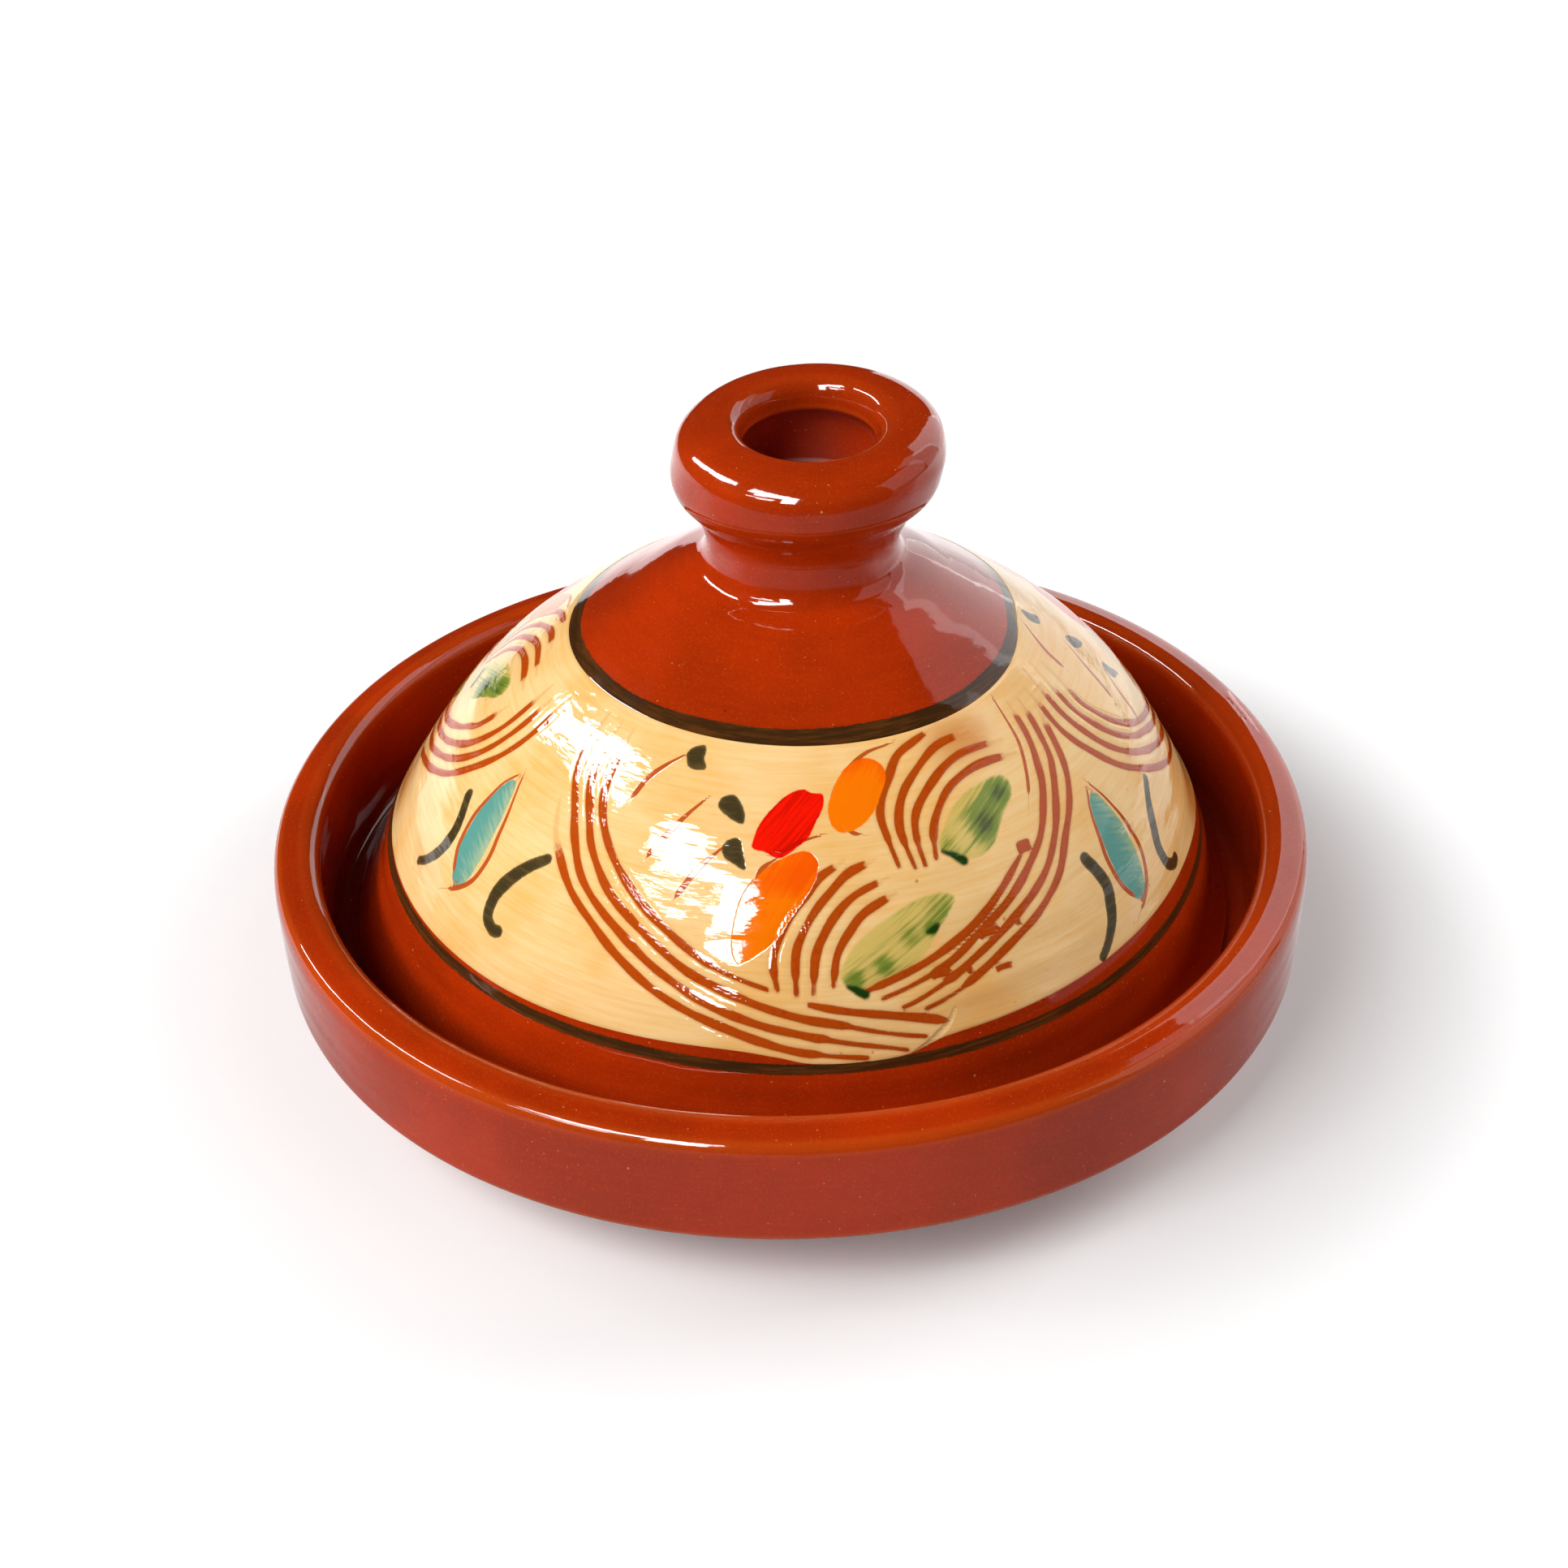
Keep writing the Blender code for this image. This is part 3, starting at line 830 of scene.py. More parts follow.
UPPER_COMB = [
    ([(29.5, 37.8), (25, 39.3), (20, 41.7), (17, 46), (14.7, 50.5), (13.6, 55), (14, 60), (15, 67)], 3),
    ([(37.5, 41.5), (30, 41.8), (25, 44.3), (20, 49), (17.5, 53.5), (16.5, 58), (16.7, 62), (17.5, 68)], 6),
    ([(44, 47), (37, 45.8), (32, 46), (27, 48.3), (22, 53), (19.6, 57), (18.9, 62), (19.2, 68)], 7),
    ([(45, 51.5), (38, 50), (33, 50.2), (28, 52.3), (24.5, 56), (22.2, 60.5), (21.2, 67)], 7)]
LOWER_COMB = [
    ([(6.5, 64.2), (2.5, 67.5), (0.2, 71.8), (-2, 76.5), (-3.3, 81), (-3.9, 86), (-3.2, 92)], 4),
    ([(11.5, 64.7), (7, 67), (4, 71), (1.5, 75.5), (-0.2, 80.5), (-0.9, 85), (-0.7, 93)], 4),
    ([(13, 69), (8, 71.8), (5, 75.5), (3, 80), (1.8, 85), (1.5, 93)], 4),
    ([(14, 72.6), (9, 76), (6.5, 80), (4.7, 85), (4.1, 91.5)], 4)]
FAR_RIGHT_COMB = [
    ([(59.3, 41), (58.3, 52), (59, 58), (61, 63.5), (64, 70), (67.5, 75), (72, 80), (77, 85), (82, 89),
      (87, 92), (95, 96.3), (104, 100), (113, 103.3), (121, 106)], 9),
    ([(64.5, 37.5), (62.5, 47), (62.2, 53), (63.5, 60), (66, 66.5), (70, 72.5), (75, 77.5), (80, 81.5),
      (86, 86), (94, 91), (103, 95.5), (112, 99.5), (124, 103.7)], 14),
    ([(68, 38.5), (66, 49), (66, 55), (67.5, 61), (70.5, 67), (75, 72.5), (80, 76.5), (86, 81), (94, 86.5),
      (103, 91.5), (112, 96), (126, 101.6)], 15),
    ([(71.5, 41), (69.5, 53), (70.3, 58.5), (72.5, 64), (75.5, 68.5), (79.3, 72.5), (86, 77.5), (93, 81.8),
      (101, 86), (106, 88.5)], 17),
    ([(111, 91.5), (118, 95), (125, 98)], 0)]
FAR_LEFT_COMB = [
    ([(-74.3, 56), (-77, 65.5), (-80, 69.5), (-83, 73), (-90, 79), (-97, 83.5), (-105, 87.5)], 8),
    ([(-69.3, 44), (-69.5, 55), (-71, 62), (-74, 68.5), (-78, 73.5), (-85, 79.5), (-92, 84), (-99, 88),
      (-108, 92)], 10),
    ([(-65.5, 44), (-65.7, 53), (-67, 60), (-69.5, 67), (-74, 74), (-80, 80), (-88, 86), (-96, 91),
      (-105, 95.3)], 10),
    ([(-60.8, 42), (-61.5, 52), (-62.5, 58), (-65, 65), (-69, 72), (-74, 79), (-80, 84.5), (-88, 90.5),
      (-96, 96), (-102, 98.8)], 10)]
# Outlines of the petals, leaves and black dabs, and paths of the scratches, as (angle, slant) places
RED_PETAL = [(-8.4, 59.5), (-7.6, 55.5), (-5.5, 51.5), (-3, 48.5), (-0.3, 47.2), (1.8, 48.2), (3.6, 48.6),
             (3.6, 51.5), (2.2, 55), (0.8, 58.5), (-1.3, 61), (-3.8, 63.2), (-6, 62), (-8.3, 61.2)]
ORANGE_PETAL = [(4.4, 52.5), (5.4, 48), (7.6, 43.8), (10.6, 41.4), (13.6, 41.2), (15.9, 43), (16.3, 46),
                (14.6, 50), (12.4, 54.2), (9.6, 57), (6.6, 57.8), (4.9, 56)]
LOWER_PETAL = [(0.2, 61.5), (2.3, 63.8), (2, 67.5), (0.2, 72.3), (-2, 77), (-3.6, 81), (-5.6, 84),
               (-8.3, 86.6), (-9.6, 84), (-9.8, 78), (-9, 71.5), (-7, 67), (-4, 63.6)]
UPPER_LEAF = [(22.2, 65.2), (23.6, 61.5), (26.6, 57.2), (30.5, 54.8), (35, 53.8), (38.6, 54.3),
              (39.6, 56.6), (38.4, 59.6), (35.6, 62.3), (33.4, 65.3), (31.2, 68.2), (28.2, 69.4),
              (24.8, 68.4)]
LOWER_LEAF = [(5.2, 90.5), (5.6, 86.5), (8, 81.8), (11.6, 78.2), (15.6, 75.6), (19.8, 74.7), (22.4, 76.3),
              (21.3, 79.2), (19.2, 82.5), (17.2, 86.5), (14.2, 90), (10.5, 92.3), (7.6, 93)]
BLACK_DABS = [
    [(-25.1, 41.6), (-24.2, 39.7), (-22.2, 38.7), (-21.3, 39.4), (-21, 41.8), (-19.9, 43.9), (-21.2, 44.7),
     (-23.6, 44.5)],
    [(-15.7, 51.8), (-15, 50), (-13.1, 49.3), (-11.5, 51), (-10.4, 53.8), (-10.6, 55.8), (-12.6, 55),
     (-15, 53.2)],
    [(-13.3, 61.6), (-12.5, 59.6), (-10.6, 59.2), (-9.8, 62), (-9, 66), (-11, 65), (-12.8, 63.6)]]
SCRATCHES = [
    [(-25.7, 42.3), (-28.5, 45.5), (-31, 50), (-32.3, 56.5)],
    [(-18.7, 52), (-20.5, 55), (-22.3, 58.8), (-24.3, 64), (-25.5, 68)],
    [(-13.5, 62), (-16.5, 67), (-19.3, 75)]]
PETAL_SCRATCHES = [
    [(18.5, 38.7), (13.5, 39.8), (9.3, 42.8), (6.2, 47.2)],
    [(7.3, 57.2), (8.6, 58.2), (9.7, 58.6)],
    [(2.4, 58.2), (-0.6, 59.3), (-3, 61.3), (-4.6, 61.6)],
    [(-4.6, 63.5), (-6.3, 65.3), (-7.4, 67.6)]]
LEAF_SPOTS = [(31, 63.5, 4.0, 1.1), (37, 57.5, 3.5, 1.0), (33, 59.5, 6.0, 0.5), (24, 66, 3.0, 0.5),
              (20, 78, 4.0, 0.6), (11, 88.3, 2.6, 1.0), (15, 82.5, 3.0, 0.6), (18.3, 82.3, 1.6, 1.0),
              (7, 91, 2.5, 1.0)]
BLUE_LEAF = [(-1.0, 65.3), (0.6, 65.8), (1.7, 70), (2.5, 76), (2.7, 83), (2.2, 89), (1.0, 93.8),
             (-1.3, 93.4), (-3.1, 88.5), (-3.5, 82), (-3.3, 75), (-2.4, 69)]
PETALS = (("red", RED_PETAL, (2.0, 48.0)), ("orange", ORANGE_PETAL, (14.0, 42.5)),
          ("orange", LOWER_PETAL, (0.5, 62.0)), ("green", UPPER_LEAF, (39.0, 55.5)),
          ("green", LOWER_LEAF, (22.0, 76.0)))
STALKS = (([(22.6, 66.1), (24, 67.3), (25.5, 69.3)], (0.5, 0.8, 1.15)),
          ([(6, 91.8), (7, 92.8), (8.2, 94)], (0.5, 0.9, 1.1)),
          ([(17.6, 82.5), (18.4, 82.4), (19.2, 81.6)], (0.5, 1.0, 0.6)))
BLUE_SCRATCHES = ([(-0.8, 64), (-2.5, 68), (-3.8, 76), (-4, 82), (-3.2, 88), (-0.8, 94.5)],
                  [(0.7, 63.3), (2.3, 69), (3.5, 76), (4, 83), (3.2, 89), (1, 93.5), (-3, 97.8)])
BLACK_STROKES = (([(-8.3, 76.3), (-6.9, 81), (-6.3, 86), (-7.5, 92), (-9.5, 96.5), (-11.4, 99)],
                  (1.6, 1.9, 1.2)),
                 ([(14.9, 75.3), (12.4, 78.7), (10, 83.5), (8.5, 89), (8.7, 94), (10.5, 96.2), (11.6, 95.8)],
                  (1.3, 1.95, 1.5)))
# Golden places of the slip, partly thinner slip and partly painted shade: angle, slant, width, height and
# strength
THIN_SLIP_AND_SHADE_PATCHES = ((86, 104, 26, 8, 1.0), (24, 101, 22, 9, 0.45), (-92, 103, 24, 8, 0.8), (33, 84, 30, 16, 0.22),
                (22, 72, 14, 7, 0.22), (34, 42, 18, 11, 0.7), (-64, 97, 24, 12, 0.3), (150, 100, 30, 9, 0.7),
                (-150, 60, 30, 20, 0.3))
CHIPS = ((26.6, 86.3, 5.0, 2.2), (18.6, 92.2, 4.6, 2.4), (22.6, 93.2, 1.4, 2.2), (22.8, 95.2, 1.5, 1.6),
         (27.6, 95.0, 4.2, 1.5), (31.3, 86.8, 1.4, 1.1), (36.4, 71.4, 3.8, 3.2), (58.3, 84.0, 1.4, 2.2))


def flowers(degrees, down=0.0, seed=0):
    """The two green leaves and three petals of one motif, and the lines scratched round the petals."""
    for number, (colour, outline, tip) in enumerate(PETALS):
        dab(colour, turned_by(outline, degrees, down), (tip[0] + degrees, tip[1] + down), 1 + number + seed)
    for path, widths in STALKS:
        brush_line("green_dark", turned_by(path, degrees, down), widths)
    for angle, slant, size, strength in LEAF_SPOTS:
        turned = around_from(angle + degrees) * slip_radius
        away = turned**2 + (slip_slants - slant - down)**2
        leaf_depth[:] = leaf_depth + strength * np.exp(-away / size**2)
    for path in PETAL_SCRATCHES:
        scratch_line(turned_by(path, degrees, down), PETAL_SCRATCH_WIDTH)


def black_marks(degrees):
    """The three black dabs and the scratched lines that run from them."""
    for number, outline in enumerate(BLACK_DABS):
        dab("black", turned_by(outline, degrees), (outline[4][0] + degrees, outline[4][1]), 6 + number)
    for path in SCRATCHES:
        scratch_line(turned_by(path, degrees), DAB_SCRATCH_WIDTH)


def blue_motif(degrees, down=0.0):
    """A blue leaf in a scratched outline, between two black brush strokes."""
    dab("blue", turned_by(BLUE_LEAF, degrees, down), (degrees, 92.0 + down), 9)
    for path in BLUE_SCRATCHES:
        scratch_line(turned_by(path, degrees, down), BLUE_SCRATCH_WIDTH)
    for path, widths in BLACK_STROKES:
        brush_line("black", turned_by(path, degrees, down), widths)


def thin_slip_and_shade_patch(degrees, slant, width, height, strength):
    """A golden place on the slip, standing for thinner slip over the clay and for painted shade."""
    across = around_from(degrees) * cone_radius(slant) / width
    down = (slip_slants - slant) / height
    thin_slip_and_shade[:] = np.maximum(thin_slip_and_shade, strength * np.exp(-(across**2 + down**2) * 2))


# The motif in front, then the blue leaves between the motifs
for teeth in (LEFT_COMB, RIGHT_COMB, UPPER_COMB, LOWER_COMB):
    comb(teeth)
flowers(0.0)
black_marks(0.0)
scratch_line([(49, 38), (47.8, 45), (46.5, 51), (43.5, 58), (40.5, 64)], 0.9)
brush_line("ridge", [(19.8, 100.5), (18.6, 103.5), (16.2, 106.5), (13.8, 108.6)], (0.4, 0.9, 0.5))
for place in CHIPS:
    chip(*place)
for degrees, down in ((-56.5, 0.0), (54.4, 5.0), (178.0, 1.0)):
    blue_motif(degrees, down)

# The motif at the right and behind, with its own black dabs and scratches
for stroke in ((FAR_RIGHT_COMB, 0.0, 0.0), (RIGHT_COMB, 115.0, 0.0), (UPPER_COMB, 112.0, 1.0),
               (LOWER_COMB, 111.0, -1.0)):
    comb(*stroke)
flowers(111.0, 0.0, 20)
for number, (degrees, down, tip) in enumerate(((110.6, -5.5, (90, 40)), (102.3, -1.8, (91, 54)),
                                               (100.0, 1.0, (90, 68)))):
    dab("black", turned_by(BLACK_DABS[number], degrees, down), tip, 6 + number)
for path, degrees, down in zip(SCRATCHES, (107.6, 104.2, 100.2), (-8.0, -3.6, -1.2)):
    scratch_line(turned_by(path, degrees, down), BLUE_SCRATCH_WIDTH)

# The motif at the left and behind
for stroke in ((LEFT_COMB, -124.0, 0.0), (FAR_LEFT_COMB, 0.0, 0.0), (UPPER_COMB, -120.6, 0.0),
               (LOWER_COMB, -121.0, 0.5)):
    comb(*stroke)
flowers(-119.5, 0.6, 40)
black_marks(-122.0)

# Golden patches, standing for thinner slip and for painted shade on the cone's shadowed parts
for patch in THIN_SLIP_AND_SHADE_PATCHES:
    thin_slip_and_shade_patch(*patch)


def slip_mesh():
    """The coat: its face row by row from the upper edge to the lower, then its underside back up."""
    shares = np.vstack((slip_share, np.linspace(1.0, 0.0, UNDER_ROWS)[:, None]))
    slants = slip_start + shares * (slip_end - slip_start)
    clay = on_cone(slants)
    steeper = on_cone(slants + 0.5) - clay
    steeper /= np.linalg.norm(steeper, axis=-1, keepdims=True)
    outward = np.stack((-steeper[..., 1], steeper[..., 0]), axis=-1)
    cover = np.minimum(slants - slip_start, slip_end - slants)
    offset = np.maximum(-UNDER_DEPTH, -SLIP_THICKNESS - UNDER_SLOPE * cover)
    rise = (SLIP_THICKNESS + SLIP_EDGE_DEPTH) * smooth_step(0.0, SLIP_EDGE_WIDTH, cover)
    offset[:SLIP_ROWS] = rise[:SLIP_ROWS] - SLIP_EDGE_DEPTH
    cut_share = GROOVE_PRESSED + (1 - GROOVE_PRESSED) * groove_cut
    offset[:SLIP_ROWS] -= GROOVE_DEPTH * (1 - smooth_step(*GROOVE_SIDE, groove)) * cut_share
    profile = clay + outward * offset[..., None]
    radius, height = profile[..., 0], profile[..., 1]
    grid = lean(round_points(radius + lid_wobble(slip_angles, radius, height), slip_angles, height))
    rings = SLIP_STEPS * np.arange(len(shares))
    faces = ring_faces(rings, np.roll(rings, -1), SLIP_STEPS)
    # The face is unwrapped to a ring, and the underside to the disc inside it
    reach = 0.32 * shares
    reach[:SLIP_ROWS] = 0.34 + 0.66 * slip_share
    uv = disc_places(reach, slip_angles, (0.5, 0.5), 0.5)
    return make_mesh("cream_slip", grid.reshape(-1, 3) * MM, [faces], uv.reshape(-1, 2))


slip = slip_mesh()
marks = {"groove": groove, "groove_cut": groove_cut, "scratch": scratch, "tone": tone, "thin_slip_and_shade": thin_slip_and_shade,
         "leaf_depth": leaf_depth, **paint}
for name, values in marks.items():
    far = 0.0 if name in ("groove_cut", "tone", "thin_slip_and_shade", "leaf_depth") else FAR
    underside = np.full((UNDER_ROWS,) + values.shape[1:], far)
    set_field(slip, name, np.vstack((values, underside)).reshape(-1, *values.shape[2:]))

SLIP_PALE = (0.94, 0.635, 0.285)
SLIP_WARM = (0.89, 0.47, 0.125)
SLIP_THIN = (0.64, 0.20, 0.027)
GROOVE_CLAY = (0.48, 0.068, 0.003)
GROOVE_EDGE = (0.27, 0.026, 0.002)
RED = (0.94, 0.0085, 0.0010)
RED_DEEP = (0.52, 0.0045, 0.001)
ORANGE = (0.98, 0.195, 0.0008)
ORANGE_RED = (0.96, 0.10, 0.001)
GREEN_WASH = (0.70, 0.51, 0.13)
GREEN = (0.14, 0.235, 0.018)
GREEN_DARK = (0.012, 0.045, 0.004)
BLUE = (0.075, 0.32, 0.28)
BLUE_WASH = (0.37, 0.49, 0.29)
BLACK = (0.030, 0.022, 0.007)
BLACK_THIN = (0.12, 0.080, 0.022)


def slip_material():
    """Cream slip under clear glaze, with the comb's grooves and every painted mark read from the mesh."""
    places, finish = new_material("combed_slip")
    brushed = places.scaled(0.055, 0.055, 1.3).noise(1.0, 5.0, 0.65)
    clouds = places.noise(0.05, 3.0, 0.5)
    fine = places.noise(0.9, 4.0, 0.6)
    thin_slip_and_shade = places.field("thin_slip_and_shade")
    shade = brushed.rise(0.3, 0.66) * 0.5 + clouds.rise(0.32, 0.6) * 0.5
    colour = shade.blend(SLIP_WARM, SLIP_PALE)
    # Golden spots where the slip is thinner, and painted shade in the same patches
    thin_slip_and_shade_spots = (thin_slip_and_shade + (clouds - 0.5) * 0.5 + (brushed - 0.5) * 0.35).rise(0.12, 1.0, 0.0, 0.85)
    colour = thin_slip_and_shade_spots.blend(colour, SLIP_THIN)
    colour = (specks(places, 0.15, (0.03, 0.09), 0.09, (0.52, 0.60), 1.0) * 0.8).blend(colour, SLIP_THIN)

    ragged = (fine - 0.5) * 0.5
    towards, across, stroke = places.field("tone", "Vector").parts()
    along_brush = places.node("CombineXYZ", {0: towards * 0.06, 1: across * 1.1, 2: stroke * 3.0})
    bristles = along_brush.noise(1.0, 3.0, 0.6)
    across_brush = places.node("CombineXYZ", {0: towards + across * 0.5, 1: across * 0.12, 2: stroke})
    hatching = across_brush.noise(1.0, 3.0, 0.6)
    level_streaks = places.scaled(0.12, 0.12, 0.9).noise(1.0, 3.0, 0.6)

    def covered(name, softness=0.16, wander=1.0):
        """How far a painted layer covers each place, with an edge as uneven as a brush leaves."""
        edge = places.field(name) + ragged * wander
        return edge.rise(-softness, softness, 1.0, 0.0)

    green = covered("green", 0.45, 1.2)
    depth = places.field("leaf_depth") + (bristles - 0.5) * 1.9 + (places.noise(0.16, 2.0) - 0.5) * 0.35
    leaf = depth.rise(0.0, 0.8).blend(GREEN_WASH, GREEN)
    leaf = depth.rise(0.75, 1.5).blend(leaf, GREEN_DARK)
    colour = (green * 0.94).blend(colour, leaf)

    blue = covered("blue", 0.25, 1.1)
    wash = (across * 0.10 + (hatching - 0.5) * 1.5 + (clouds - 0.5) * 0.6 + 0.72).rise(0.0, 0.9)
    colour = (blue * 0.96).blend(colour, wash.blend(BLUE_WASH, BLUE))

    beside_scratch, half_scratch, from_scratch = places.field("scratch", "Vector").parts()
    scratched = (abs(beside_scratch) - half_scratch + ragged * 0.25).rise(-0.12, 0.12, 1.0, 0.0)
    scratched = scratched * (from_scratch < 2.4)
    side = places.field("groove")
    groove_edge = side + ragged * 0.36
    groove_cut = places.field("groove_cut")
    cut = groove_edge.rise(-0.24, 0.20, 1.0, 0.0) * (groove_cut + (fine - 0.5) * 0.8).rise(0.25, 0.7)
    rim = groove_edge.rise(-0.45, -0.05) * groove_edge.rise(0.0, 0.3, 1.0, 0.0)
    clay = (rim * 0.45).blend(GROOVE_CLAY, GROOVE_EDGE)
    clay = places.noise(0.7, 3.0).rise(0.5, 0.75, 0.0, 0.5).blend(clay, CLAY_LIT)
    pressed = groove_edge.rise(-0.7, 0.1, 0.30, 0.0) * (1 - cut)
    stain = groove_edge.rise(0.0, 0.8, 0.25, 0.0) * groove_cut
    colour = (pressed + stain).blend(colour, SLIP_THIN)
    colour = cut.blend(colour, clay)
    colour = (scratched * 0.95).blend(colour, clay)
    ridge = places.field("ridge").rise(-0.7, 0.3, 1.0, 0.0)
    colour = (ridge * 0.8).blend(colour, SLIP_PALE)

    orange = covered("orange")
    heat = (towards * 0.05 + (places.noise(0.10, 2.0) - 0.5) * 1.6 + (bristles - 0.5) * 1.1).rise(-0.1, 0.7)
    colour = orange.blend(colour, heat.blend(ORANGE, ORANGE_RED))
    red = covered("red")
    colour = red.blend(colour, (bristles.rise(0.42, 0.62) * 0.55).blend(RED, RED_DEEP))
    colour = (scratched * red * 0.7).blend(colour, RED_DEEP)

    colour = covered("green_dark", 0.45, 0.8).blend(colour, GREEN_DARK)
    black = covered("black", 0.22, 1.0)
    inner = places.field("black").rise(-0.9, -0.1, 0.0, 0.75) * 0.6 + level_streaks.rise(0.45, 0.7) * 0.45
    colour = (black * 0.97).blend(colour, inner.blend(BLACK, BLACK_THIN))

    enamel = (orange + red).least(1.0) * 0.05 + black * 0.02
    cut_share = groove_cut * (1 - GROOVE_PRESSED) + GROOVE_PRESSED
    cut_depth = side.rise(*GROOVE_SIDE, 1.0, 0.0) * cut_share * GROOVE_DEPTH
    shoulder = side.rise(0.1, 1.4, 0.03, 0.0) * groove_cut
    brush_marks = places.scaled(0.09, 0.09, 0.5).noise(1.0, 3.0, 0.5) * 0.13
    height = glaze_height(places, 1.25) + enamel + shoulder + brush_marks + ridge * 0.3
    height = height - cut_depth - scratched * 0.06
    roughness = places.noise(0.12, 3.0).rise(0.3, 0.7, 0.03, 0.065)
    return finish(colour, roughness, height)


slip.data.materials.append(slip_material())
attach(slip, "lid")


# Dish. The shallow base, thrown in red clay with a thick upright rim and a ledge inside it for the lid,
# glazed all over except its flat foot, which was wiped clean so that it could stand in the kiln.
# The rim from its inner wall, over its flat top and tight outer corner, to the heel: radius and height
RIM = [(122.2, 39.0), (122.35, 43.0), (122.8, 44.9), (123.6, 46.1), (125.0, 47.05), (126.8, 47.4),
       (128.8, 47.15), (130.6, 46.85), (132.1, 46.4), (133.05, 45.7), (133.65, 44.7), (133.95, 43.3),
       (134.1, 40.5), (134.2, 32.0), (134.2, 26.0), (134.15, 21.6), (134.0, 20.0), (133.3, 19.0),
       (131.8, 18.5)]
FOOT_RADIUS = 96.0
FOOT_ROUND = 2.0
BELLY_SWELL = 2.5
FLOOR_THICKNESS = 9.0
FLOOR_RADIUS = 84.0
SEAT_Z = 17.6
SEAT_INNER_RADIUS = 107.0
SEAT_CORNER_ROUND = 3.0
FOOT_ROWS = 18
DISH_STEPS = 430


def dish_line():
    """Half section from the middle of the floor, over the rim, to the middle of the foot."""
    rim = spline(RIM, per_span=7)
    rim_inner = rim[0, 0]
    floor = straight((0.0, FLOOR_THICKNESS), (FLOOR_RADIUS, FLOOR_THICKNESS), 20)
    bowl_pulls = (((FLOOR_RADIUS + SEAT_INNER_RADIUS) / 2, FLOOR_THICKNESS),
                  (SEAT_INNER_RADIUS - BELLY_SWELL, (FLOOR_THICKNESS + SEAT_Z) / 2))
    bowl = bezier(floor[-1], *bowl_pulls, (SEAT_INNER_RADIUS, SEAT_Z), 16)
    seat = straight((SEAT_INNER_RADIUS, SEAT_Z), (rim_inner - SEAT_CORNER_ROUND, SEAT_Z), 8)
    corner = arc((rim_inner - SEAT_CORNER_ROUND, SEAT_Z + SEAT_CORNER_ROUND), SEAT_CORNER_ROUND, -90, 0, 8)
    wall = straight(corner[-1], rim[0], 12)
    foot_top = np.array((FOOT_RADIUS + FOOT_ROUND, FOOT_ROUND))
    inward = (foot_top - rim[-1]) / np.linalg.norm(foot_top - rim[-1])
    middle = (rim[-1] + foot_top) / 2 + BELLY_SWELL * np.array((-inward[1], inward[0]))
    belly = bezier(rim[-1], middle, middle, foot_top, 24)
    foot_edge = arc((FOOT_RADIUS, FOOT_ROUND), FOOT_ROUND, 0, -90, 6)
    foot = straight((FOOT_RADIUS, 0.0), (0.0, 0.0), FOOT_ROWS)
    return join(floor, bowl, seat, corner, wall, rim, belly, foot_edge, foot)


def dish_wobble(angles, radius, height):
    """The dish's wall off its circle: a slow oval and low finger ridges round the rim's face."""
    oval = 0.12 * np.sin(2 * angles + 2.1) - 0.42 * np.cos(4 * angles)
    ridges = 0.03 * np.sin(2 * math.pi * height / 6.5 + 0.5 * np.sin(angles))
    return (oval + ridges) * smooth_step(0.0, FOOT_RADIUS, radius)


def dish_material():
    """Glazed red clay, bare and matt under the foot."""
    places, finish = new_material("dish_glazed_clay")
    up = places.parts()[2]
    bare = (up + (places.noise(0.06, 3.0) - 0.5) * 3.0).rise(1.6, 2.2, 1.0, 0.0)
    colour = bare.blend(pooled_colour(places, clay_colour(places), 0.4), CLAY_BARE)
    roughness = places.noise(0.12, 3.0).rise(0.3, 0.7, 0.035, 0.08) + bare * 0.6
    height = glaze_height(places, 0.8) + bare * places.noise(2.0, 4.0, 0.7) * 0.05
    return finish(colour, roughness, height)


dish_points = dish_line()
dish = round_body("dish_clay", dish_points, turned_grid(dish_points, DISH_STEPS, dish_wobble),
                  len(dish_points) - FOOT_ROWS)
set_field(dish, "pooled", pooling(dish_points, DISH_STEPS))
dish.data.materials.append(dish_material())
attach(dish, "dish")
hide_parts("dish")


# Studio. A white table under soft light: four lamps at the left, one behind at the right and a weak one low
# at the right. What the glaze mirrors is set apart from them: the panes of a window at the left and white
# cards at the right. The room in front stays dim.
POT_MIDDLE = (0.0, 0.0, 70.0)
FLOOR_SIDE = 8000.0
FLOOR_WHITE = (0.80, 0.80, 0.80)
# How brightly the camera sees the table glow, beside the light on it: near the pot, past its shadow, far off
FLOOR_GLOW = (1.3, 1.3, 1.3)
FLOOR_SEEN = 0.085
FLOOR_SEEN_FAR = 0.23
FAR_FROM = (132.0, 240.0)
FLOOR_SEEN_OPEN = 0.70
OPEN_FROM = (400.0, 1500.0)
# As the glaze mirrors it, the table is dim in front, where the photographer stood, and white behind the pot
FLOOR_MIRRORED = (0.36, 0.36, 0.36)
FLOOR_DIM = (0.03, 0.03, 0.03)
DIM_FROM = (-420.0, -310.0)
BRIGHT_FROM = (-110.0, 30.0)
BRIGHTEST_FROM = (150.0, 450.0)


def rays(tree):
    """1 where the camera itself sees, and 1 for what the glaze mirrors."""
    seen = Wire(tree).node("LightPath")
    return seen, Wire(tree, seen.socket.node.outputs["Is Glossy Ray"])


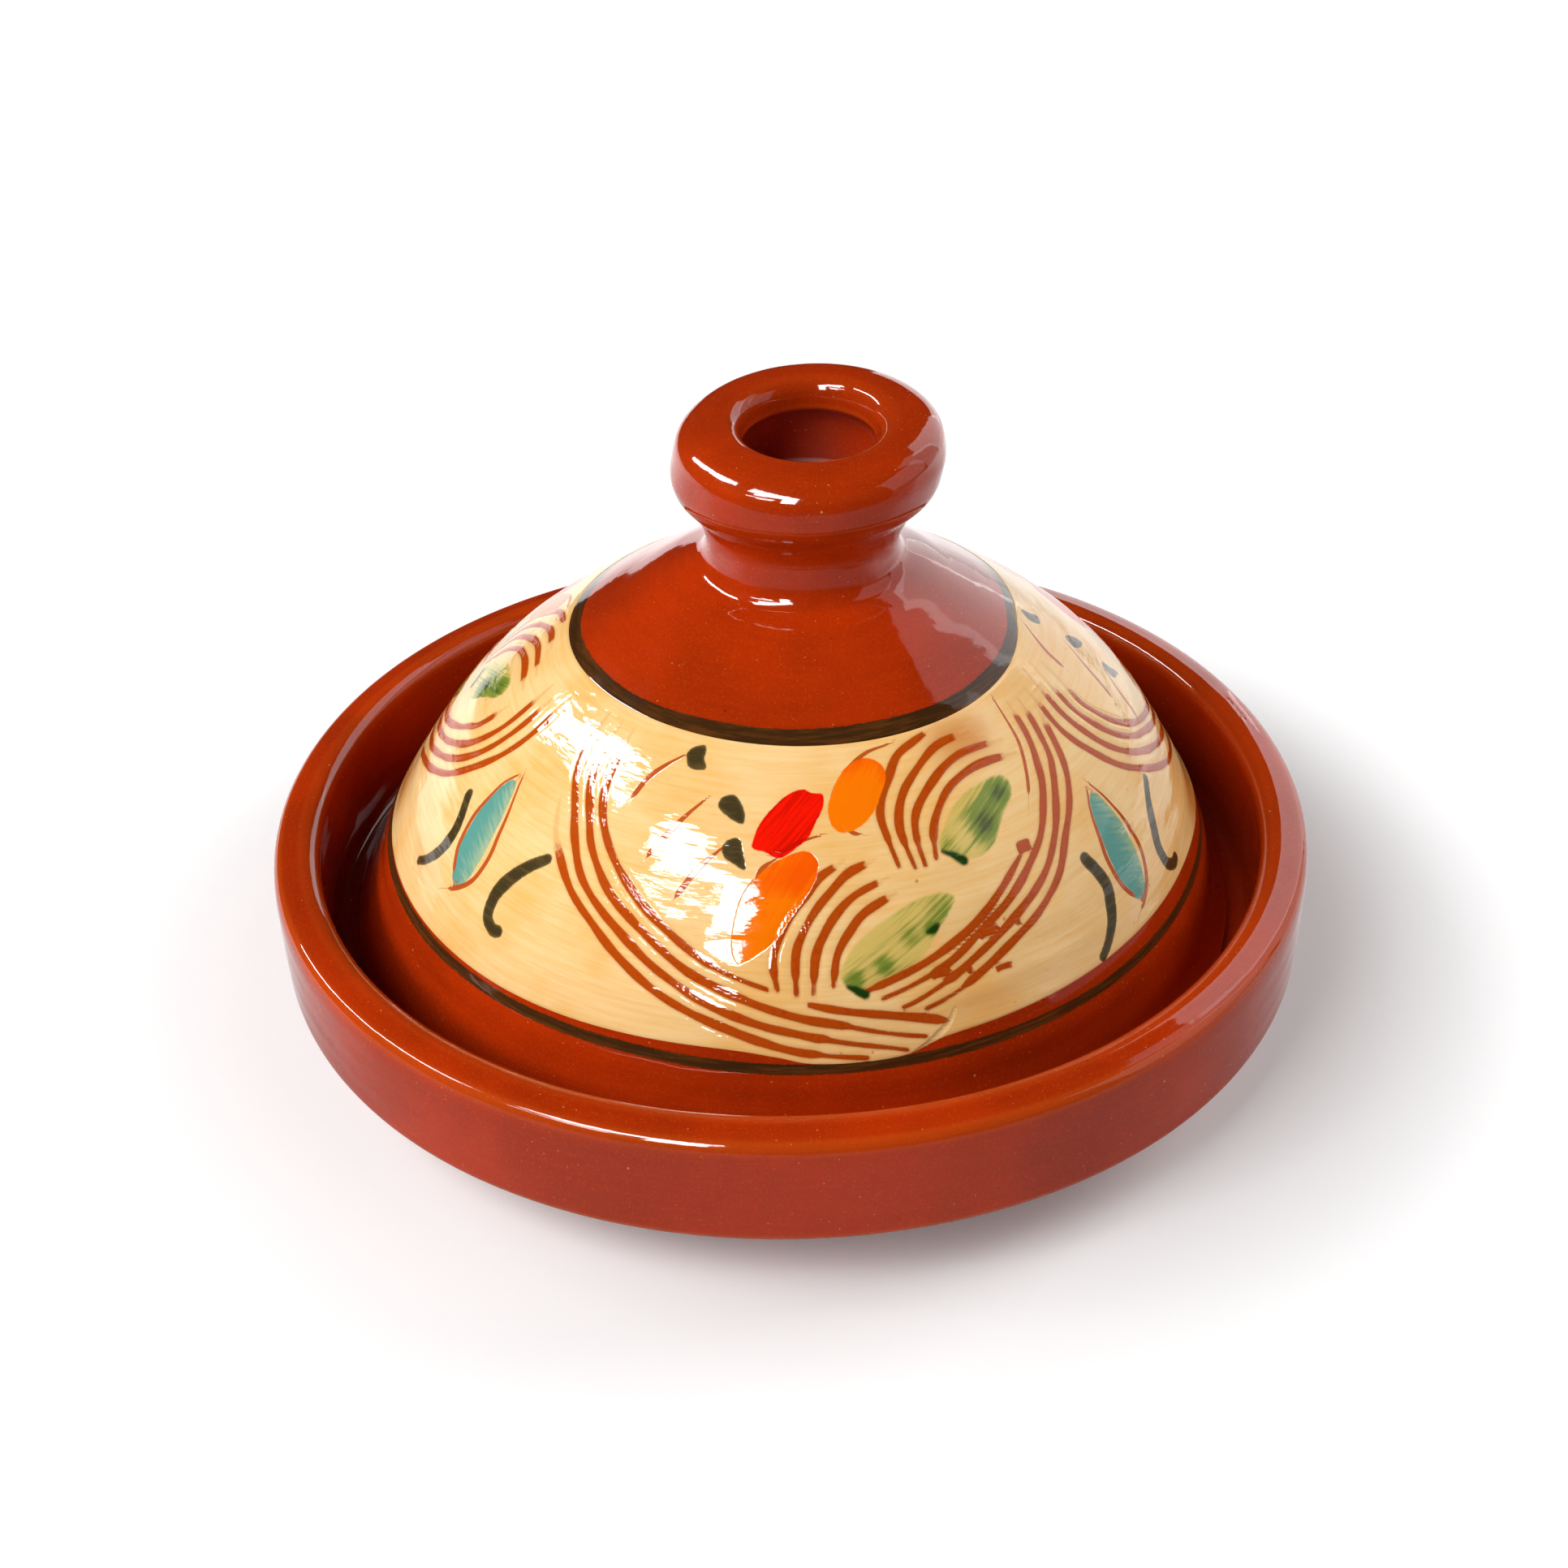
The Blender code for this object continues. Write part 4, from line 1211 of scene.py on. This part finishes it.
def stage_floor():
    """The white table that the pot stands on."""
    half = FLOOR_SIDE / 2 * MM
    mesh = bpy.data.meshes.new("floor")
    corners = [(-half, -half, 0), (half, -half, 0), (half, half, 0), (-half, half, 0)]
    mesh.from_pydata(corners, [], [(0, 1, 2, 3)])
    made = bpy.data.materials.new("table_white")
    made.use_nodes = True
    tree = made.node_tree
    shader = tree.nodes["Principled BSDF"]
    for socket, value in (("Roughness", 0.9), ("Specular IOR Level", 0.1), ("Emission Strength", 1.0)):
        shader.inputs[socket].default_value = value
    seen, mirrored = rays(tree)
    sideways, back, _ = object_places(tree).parts()
    away = (sideways * sideways + back * back) ** 0.5
    lit = back.rise(*DIM_FROM).blend(FLOOR_DIM, FLOOR_MIRRORED)
    white = away.rise(*FAR_FROM, FLOOR_SEEN, FLOOR_SEEN + FLOOR_SEEN_FAR)
    white = white + away.rise(*OPEN_FROM, 0.0, FLOOR_SEEN_OPEN)
    bright = back.rise(*BRIGHT_FROM, 0.0, 0.4) + back.rise(*BRIGHTEST_FROM, 0.0, 0.6)
    glow = seen * white + mirrored * bright
    tree.links.new(mirrored.blend(FLOOR_WHITE, lit).socket, shader.inputs["Base Color"])
    tree.links.new(glow.blend((0, 0, 0), FLOOR_GLOW).socket, shader.inputs["Emission Color"])
    mesh.materials.append(made)
    floor = bpy.data.objects.new("floor", mesh)
    bpy.context.scene.collection.objects.link(floor)


def panel(name, azimuth, elevation, distance, width, height, brightness, aside=0.0, lights=False):
    """A flat lamp that faces the pot, sizes in metres, and either lights it or is only mirrored in it."""
    light = bpy.data.lights.new(name, "AREA")
    light.shape = "RECTANGLE"
    light.size = width
    light.size_y = height
    light.energy = brightness * math.pi * width * height
    lamp = bpy.data.objects.new(name, light)
    lamp.visible_diffuse = lights
    lamp.visible_glossy = not lights
    bpy.context.scene.collection.objects.link(lamp)
    middle = Matrix.Translation([MM * place for place in POT_MIDDLE])
    around = (Matrix.Rotation(math.radians(azimuth), 4, "Z")
              @ Matrix.Rotation(math.radians(90) - math.radians(elevation), 4, "X"))
    lamp.matrix_world = middle @ around @ Matrix.Translation((aside, 0.0, distance))


# Azimuth, growing to the right from the front, elevation and brightness of the lamps that light the pot
LAMPS = {"front_light": (-45, 38, 8.1), "front_light_high": (-45, 54, 6.1), "side_light": (-75, 38, 9.3),
         "back_light": (-105, 38, 5.2), "far_light": (110, 28, 11.0), "low_light": (55, 20, 2.8)}
LAMP_SIZE = (0.75, 0.42)
LAMP_DISTANCE = 1.5
# Azimuth, elevation, width, height and shift aside of the panes, and then brightness of the cards
PANES = {"window_left": (-58, 52, 1.64, 0.15, -1.25), "window_right": (-58, 51, 0.85, 0.20, 0.30),
         "window_pane": (-22, 37, 0.27, 0.55, 0.0), "window_middle": (-42, 44.5, 0.474, 0.13, 0.0),
         "window_low": (-47, 36.5, 0.557, 0.05, 0.0), "window_lowest": (-42, 33.5, 0.263, 0.06, 0.0)}
PANE_BRIGHTNESS = 26.0
CARDS = {"card_low": (83, 2, 0.87, 0.30, 0.3), "card_side": (83, 28, 0.87, 0.84, 0.8),
         "card_right": (116, 28, 0.47, 1.28, 0.9), "card_back": (139, 25, 0.52, 1.10, 1.8),
         "card_far": (161, 10, 0.48, 0.42, 1.8)}
CARD_DISTANCE = 1.2
ROOM_FILL = 0.02
ROOM_MIRRORED = 0.012

stage_floor()
for name, (azimuth, elevation, brightness) in LAMPS.items():
    panel(name, azimuth, elevation, LAMP_DISTANCE, *LAMP_SIZE, brightness, lights=True)
for name, (azimuth, elevation, width, height, aside) in PANES.items():
    panel(name, azimuth, elevation, LAMP_DISTANCE, width, height, PANE_BRIGHTNESS, aside)
for name, (azimuth, elevation, width, height, brightness) in CARDS.items():
    panel(name, azimuth, elevation, CARD_DISTANCE, width, height, brightness)

world = bpy.data.worlds.new("room")
bpy.context.scene.world = world
world.use_nodes = True
seen, mirrored = rays(world.node_tree)
level = seen + (1 - seen) * (mirrored * ROOM_MIRRORED + (1 - mirrored) * ROOM_FILL)
background = world.node_tree.nodes["Background"]
background.inputs["Color"].default_value = (1.0, 1.0, 1.0, 1.0)
world.node_tree.links.new(level.socket, background.inputs["Strength"])
